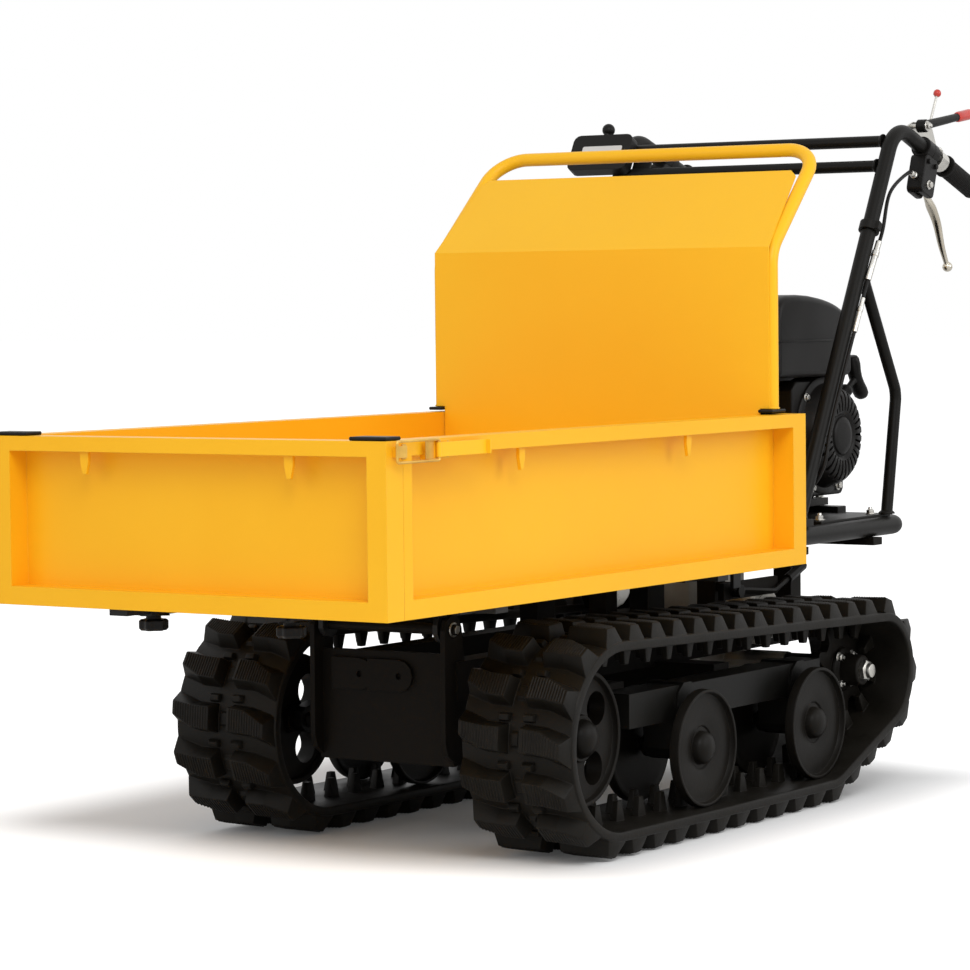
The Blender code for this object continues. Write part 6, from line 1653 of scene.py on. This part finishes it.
def cable(side_name, sign):
    axes = grip_frame(1)
    start = axes @ Vector((0, HOUSING_ALONG - 0.0245, -0.0125 - 0.066 * 0.62))
    forward = axes.to_3x3() @ Vector((0, -1, 0))
    route = [
        start, start + forward * 0.020, beside_tube(0.84, 0.0100, 0.0200), beside_tube(0.735, 0.0160, 0.0150),
        beside_tube(0.64, 0.0168, 0.0060), beside_tube(0.45, 0.0168, 0.0020),
        beside_tube(0.25, 0.0168, 0.0020),
        beside_tube(0.15, 0.0150, 0.0120), at(0.2350, 1.272, 0.470), at(0.1900, 1.262, 0.442),
        at(0.1300, 1.262, 0.432), at(0.0700, 1.276, 0.420), at(0.0200, 1.290, 0.395),
    at(0.0200, 1.290, 0.3555),
    ]
    turn = Matrix.Scale(sign, 4, ACROSS)
    path = flowing([turn @ p for p in route], 0.008)
    bm = bmesh.new()
    sweep(bm, path, 0.0030, 16)
    made(
        f"cable_{side_name}_sheath", bm, PLASTIC, "chassis", "black_plastic", [f"cable_{side_name}"],
        sharp=60,
    )
    fitting = bmesh.new()
    lathe(fitting, frame_at(turn @ start, turn.to_3x3() @ forward),
                                                                     [(0.0, 0.0), (0.0058, 0.0),
                                                                     (0.0060, 0.0006), (0.0060, 0.0055),
                                                                     (0.0048, 0.0062),
                                                                     (0.0048, 0.0150), (0.0040, 0.0165),
                                                                             (0.0, 0.0165)], 24)
    for low_share, high_share, radius in ((0.605, 0.708, 0.0062), (0.475, 0.560, 0.0046)):
        low = turn @ beside_tube(low_share, 0.0170, 0.0046 if radius > 0.005 else 0.0030)
        high = turn @ beside_tube(
            high_share, 0.0166 if radius > 0.005 else 0.0170, 0.0108 if radius > 0.005 else 0.0040,
        )
        length = (high - low).length
        lathe(fitting, frame_at(low, high - low), [
            (0.0, 0.0), (radius * 0.8, 0.0), (radius * 0.85, 0.0010), (radius * 0.85, length * 0.60),
            (radius, length * 0.61),
            (radius, length * 0.74), (radius * 0.8, length * 0.75), (radius * 0.8, length - 0.0010),
        (0.0036, length), (0.0, length),
        ], 24)
    made(f"cable_{side_name}_adjusters", fitting, ZINC, "chassis", "zinc_steel")


cable("left", 1)
cable("right", -1)
print("controls done")

# %% [markdown]
# ## Tray fittings and chassis details
#
# Under the tray's front stand two clamp knobs with lobed rims, each below a thin black plate.
# The latches get pins, a plated seat for the lever and a folded catch. The chassis rails and
# the track frames get the bolts that hold their brackets and hangers.

# %% Clamp knobs
def clamp_knob(side_name, sign):
    place = at(sign * 0.115, 0.080, 0.3606)
    down = frame_at(place, -UP)
    bm = bmesh.new()
    lobes = []
    for i in range(72):
        turn = 2 * math.pi * i / 72
        radius = 0.0182 + 0.0018 * math.cos(6 * turn)
        lobes.append((radius * math.cos(turn), radius * math.sin(turn)))
    inset = [(u * 0.86, v * 0.86) for u, v in lobes]
    prism(bm, down, inset, 0.0062, 0.0085, lobes)
    prism(bm, down, lobes, 0.0085, 0.0185)
    prism(bm, down, lobes, 0.0185, 0.0215, inset)
    lathe(bm, down, [(0.0, 0.0004), (0.0100, 0.0004), (0.0105, 0.0062), (0.0, 0.0062)], 32)
    made(
        f"clamp_knob_{side_name}_lobed", bm, PLASTIC, f"clamp_knob_{side_name}", "black_plastic",
        [f"clamp_knob_{side_name}"],
    )
    plate = bmesh.new()
    prism(plate, down, rounded_outline(0.040, 0.052, 0.004), -0.0006, 0.0002)
    made(f"clamp_plate_{side_name}", plate, BLACK, "tray", "yellow_paint")


clamp_knob("left", 1)
clamp_knob("right", -1)

# %% Latch pins, seat and catch
def latch_details(side_name, sign):
    face = 0.325 + 0.006
    z = 0.587
    pin = bmesh.new()
    for way in (-1, 1):
        end = frame_at(at(sign * (face + 0.0035), 0.104, z + way * 0.0094), UP * way)
        lathe(pin, end, [(0.0, 0.0), (0.0024, 0.0), (0.0024, 0.0016), (0.0, 0.0024)], 20)
    for back in (0.092, 0.130):
        for rise in (-0.0085, 0.0085):
            lathe(
                pin, frame_at(at(sign * face, back, z + rise), ACROSS * sign),
                [(0.0, -0.001), (0.0024, -0.001), (0.0022, 0.0002), (0.0, 0.0003)], 16,
            )
    made(f"latch_pins_{side_name}", pin, GOLD_ZINC, f"side_gate_{side_name}", "yellow_paint")
    # The seat that the knuckle turns in: a plated channel with two ears
    seat = bmesh.new()
    brick(seat, Matrix.Translation(at(sign * (face + 0.0001), 0.0880, z)), (0.0012, 0.018, 0.0225))
    for rise in (-0.0118, 0.0118):
        brick(seat, Matrix.Translation(at(sign * (face + 0.0018), 0.0935, z + rise)), (0.0046, 0.026, 0.0014))
    made(f"latch_seat_{side_name}", seat, GOLD_ZINC, f"side_gate_{side_name}", "yellow_paint", bevel=0.0003)
    # The catch: a plated plate folded round the keeper's nose
    catch = bmesh.new()
    brick(catch, Matrix.Translation(at(sign * 0.33355, 0.0245, z)), (0.0010, 0.0200, 0.0150))
    brick(catch, Matrix.Translation(at(sign * 0.32590, 0.0385, z)), (0.0014, 0.0090, 0.0190))
    made(f"latch_catch_{side_name}", catch, GOLD_ZINC, "front_gate", "yellow_paint", bevel=0.0003)


latch_details("left", 1)
latch_details("right", -1)

# %% Chassis bolts and the gearbox cap
def chassis_details():
    bolts = bmesh.new()
    for sign in (1, -1):
        bolt(bolts, at(sign * 0.1165, 0.455, 0.318), ACROSS * sign, 0.015, 0.006)
    for back in (1.232, 1.300, 1.368):
        bolt(bolts, at(-0.1202, back, 0.250), -ACROSS, 0.012, 0.005)
    for turn in range(0, 360, 60):
        angle = math.radians(turn)
        spot = at(0.1203 + 0.018, 1.312 + 0.0405 * math.cos(angle), 0.272 + 0.0405 * math.sin(angle))
        bolt(bolts, spot, ACROSS, 0.008, 0.004, washer=False)
    made("chassis_bolts", bolts, ZINC, "chassis", "zinc_steel")
    disc = bmesh.new()
    lathe(
        disc, frame_at(at(0.1383, 1.312, 0.272), ACROSS),
        [
            (0.0, 0.0036), (0.010, 0.0036), (0.012, 0.0010), (0.026, 0.0006), (0.028, 0.0024),
            (0.0335, 0.0024), (0.0345, 0.0), (0.0, 0.0),
        ],
        48,
    )
    made("gearbox_cap", disc, GREY_CAST, "chassis", "engine_casting")


chassis_details()


def track_frame_details(side_name, sign):
    bm = bmesh.new()
    for back, z, _ in ROLLERS:
        for outward in (1, -1):
            bolt(
                bm, at(sign * 0.25 + outward * 0.0312, back, z + 0.030), ACROSS * outward, 0.012,
                0.006, washer=False,
            )
    arm_face = sign * (0.25 - 0.0465)
    bolt(bm, at(arm_face, 0.640, 0.186), ACROSS * -sign, 0.014, 0.006)
    bolt(bm, at(arm_face, 0.610, 0.178), ACROSS * -sign, 0.014, 0.006)
    made(f"track_frame_bolts_{side_name}", bm, HOT_STEEL, "chassis", "black_paint")


track_frame_details("left", 1)
track_frame_details("right", -1)

# %% Engine details: plug lead, oil filler, bolts, silencer guard
def engine_details():
    lean = Matrix.Translation(CRANK + Vector((0.035, 0, 0.004))) @ Matrix.Rotation(math.radians(78), 4, "X")
    head = lean @ Vector((0.0, 0.0, 0.1835))
    along = (lean.to_3x3() @ UP).normalized()
    plug = bmesh.new()
    lathe(
        plug, frame_at(head, along),
        [
            (0.0, 0.0), (0.0085, 0.0), (0.0085, 0.008), (0.0070, 0.010), (0.0075, 0.012),
            (0.0075, 0.026), (0.0060, 0.029), (0.0, 0.029),
        ],
        24,
    )
    end = head + along * 0.020
    lead = flowing([end, end + Vector((0.012, -0.004, 0.020)), end + Vector((0.040, 0.050, 0.052)),
            CRANK + Vector((0.115, -0.080, 0.060))])
    sweep(plug, lead, 0.0032, 14)
    made("plug_and_lead", plug, PLASTIC, "chassis", "engine_casting", sharp=50)
    bolts = bmesh.new()
    for y, z in ((0.030, 0.024), (-0.030, 0.024), (0.030, -0.024), (-0.030, -0.024)):
        spot = lean @ Vector((y, z, 0.1842))
        bolt(bolts, spot, along, 0.011, 0.005)
    for turn in range(30, 390, 60):
        angle = math.radians(turn)
        spot = CRANK + Vector((-0.0762, 0.052 * math.cos(angle), 0.052 * math.sin(angle)))
        bolt(bolts, spot, -ACROSS, 0.010, 0.005)
    bolt(bolts, CRANK + Vector((-0.156, 0, 0)), -ACROSS, 0.017, 0.006, stub=0.002)
    bolt(bolts, at(-0.156, 1.300, 0.325), -ACROSS, 0.017, 0.005, stub=0.002)
    for back, z in ((1.520, 0.590), (1.452, 0.430 + 0.012)):
        bolt(bolts, at(-0.141 - 0.0163, back - 0.02, z - 0.01), -ACROSS, 0.010, 0.004)
    made("engine_bolts", bolts, ZINC, "chassis", "zinc_steel")
    filler = bmesh.new()
    spot = frame_at(CRANK + Vector((0.035, 0.066, -0.062)), Vector((0, 0.85, 0.5)))
    lathe(
        filler, spot,
        [
            (0.0, 0.0), (0.0135, 0.0), (0.0135, 0.010), (0.0165, 0.012), (0.0165, 0.019),
            (0.0150, 0.021), (0.0, 0.021),
        ],
        36,
    )
    brick(filler, spot @ Matrix.Translation((0, 0, 0.0245)), (0.026, 0.006, 0.009))
    made("oil_filler", filler, PLASTIC, "chassis", "engine_casting", bevel=0.0006)
    # A pressed guard with slots over the silencer, on its front and right faces
    guard = bmesh.new()
    for i in range(6):
        z = 0.566 + 0.0155 * i
        brick(guard, Matrix.Translation(at(-0.090, 1.2865, z)), (0.092, 0.0036, 0.0052))
        if i != 3:
            brick(guard, Matrix.Translation(at(-0.1512, 1.338, z)), (0.0036, 0.050, 0.0052))
    made("silencer_ribs", guard, HOT_STEEL, "chassis", "black_paint", bevel=0.0008)
    # A seam on the air cleaner, and its knob
    clips = bmesh.new()
    prism(
        clips, Matrix.Translation(at(-0.09325, 1.435, 0.705)), rounded_outline(0.1162, 0.1532, 0.015),
        -0.0014, 0.0014,
    )
    made("air_cleaner_seam", clips, PLASTIC, "chassis", "black_plastic", bevel=0.0006)
    knob = bmesh.new()
    lathe(
        knob, frame_at(at(-0.093, 1.435, 0.758), UP),
        [
            (0.0, 0.0), (0.006, 0.0), (0.006, 0.004), (0.012, 0.005), (0.0125, 0.012), (0.011, 0.014),
            (0.0, 0.014),
        ],
        32,
    )
    made("air_cleaner_knob", knob, PLASTIC, "chassis", "black_plastic")


engine_details()
print("details done")
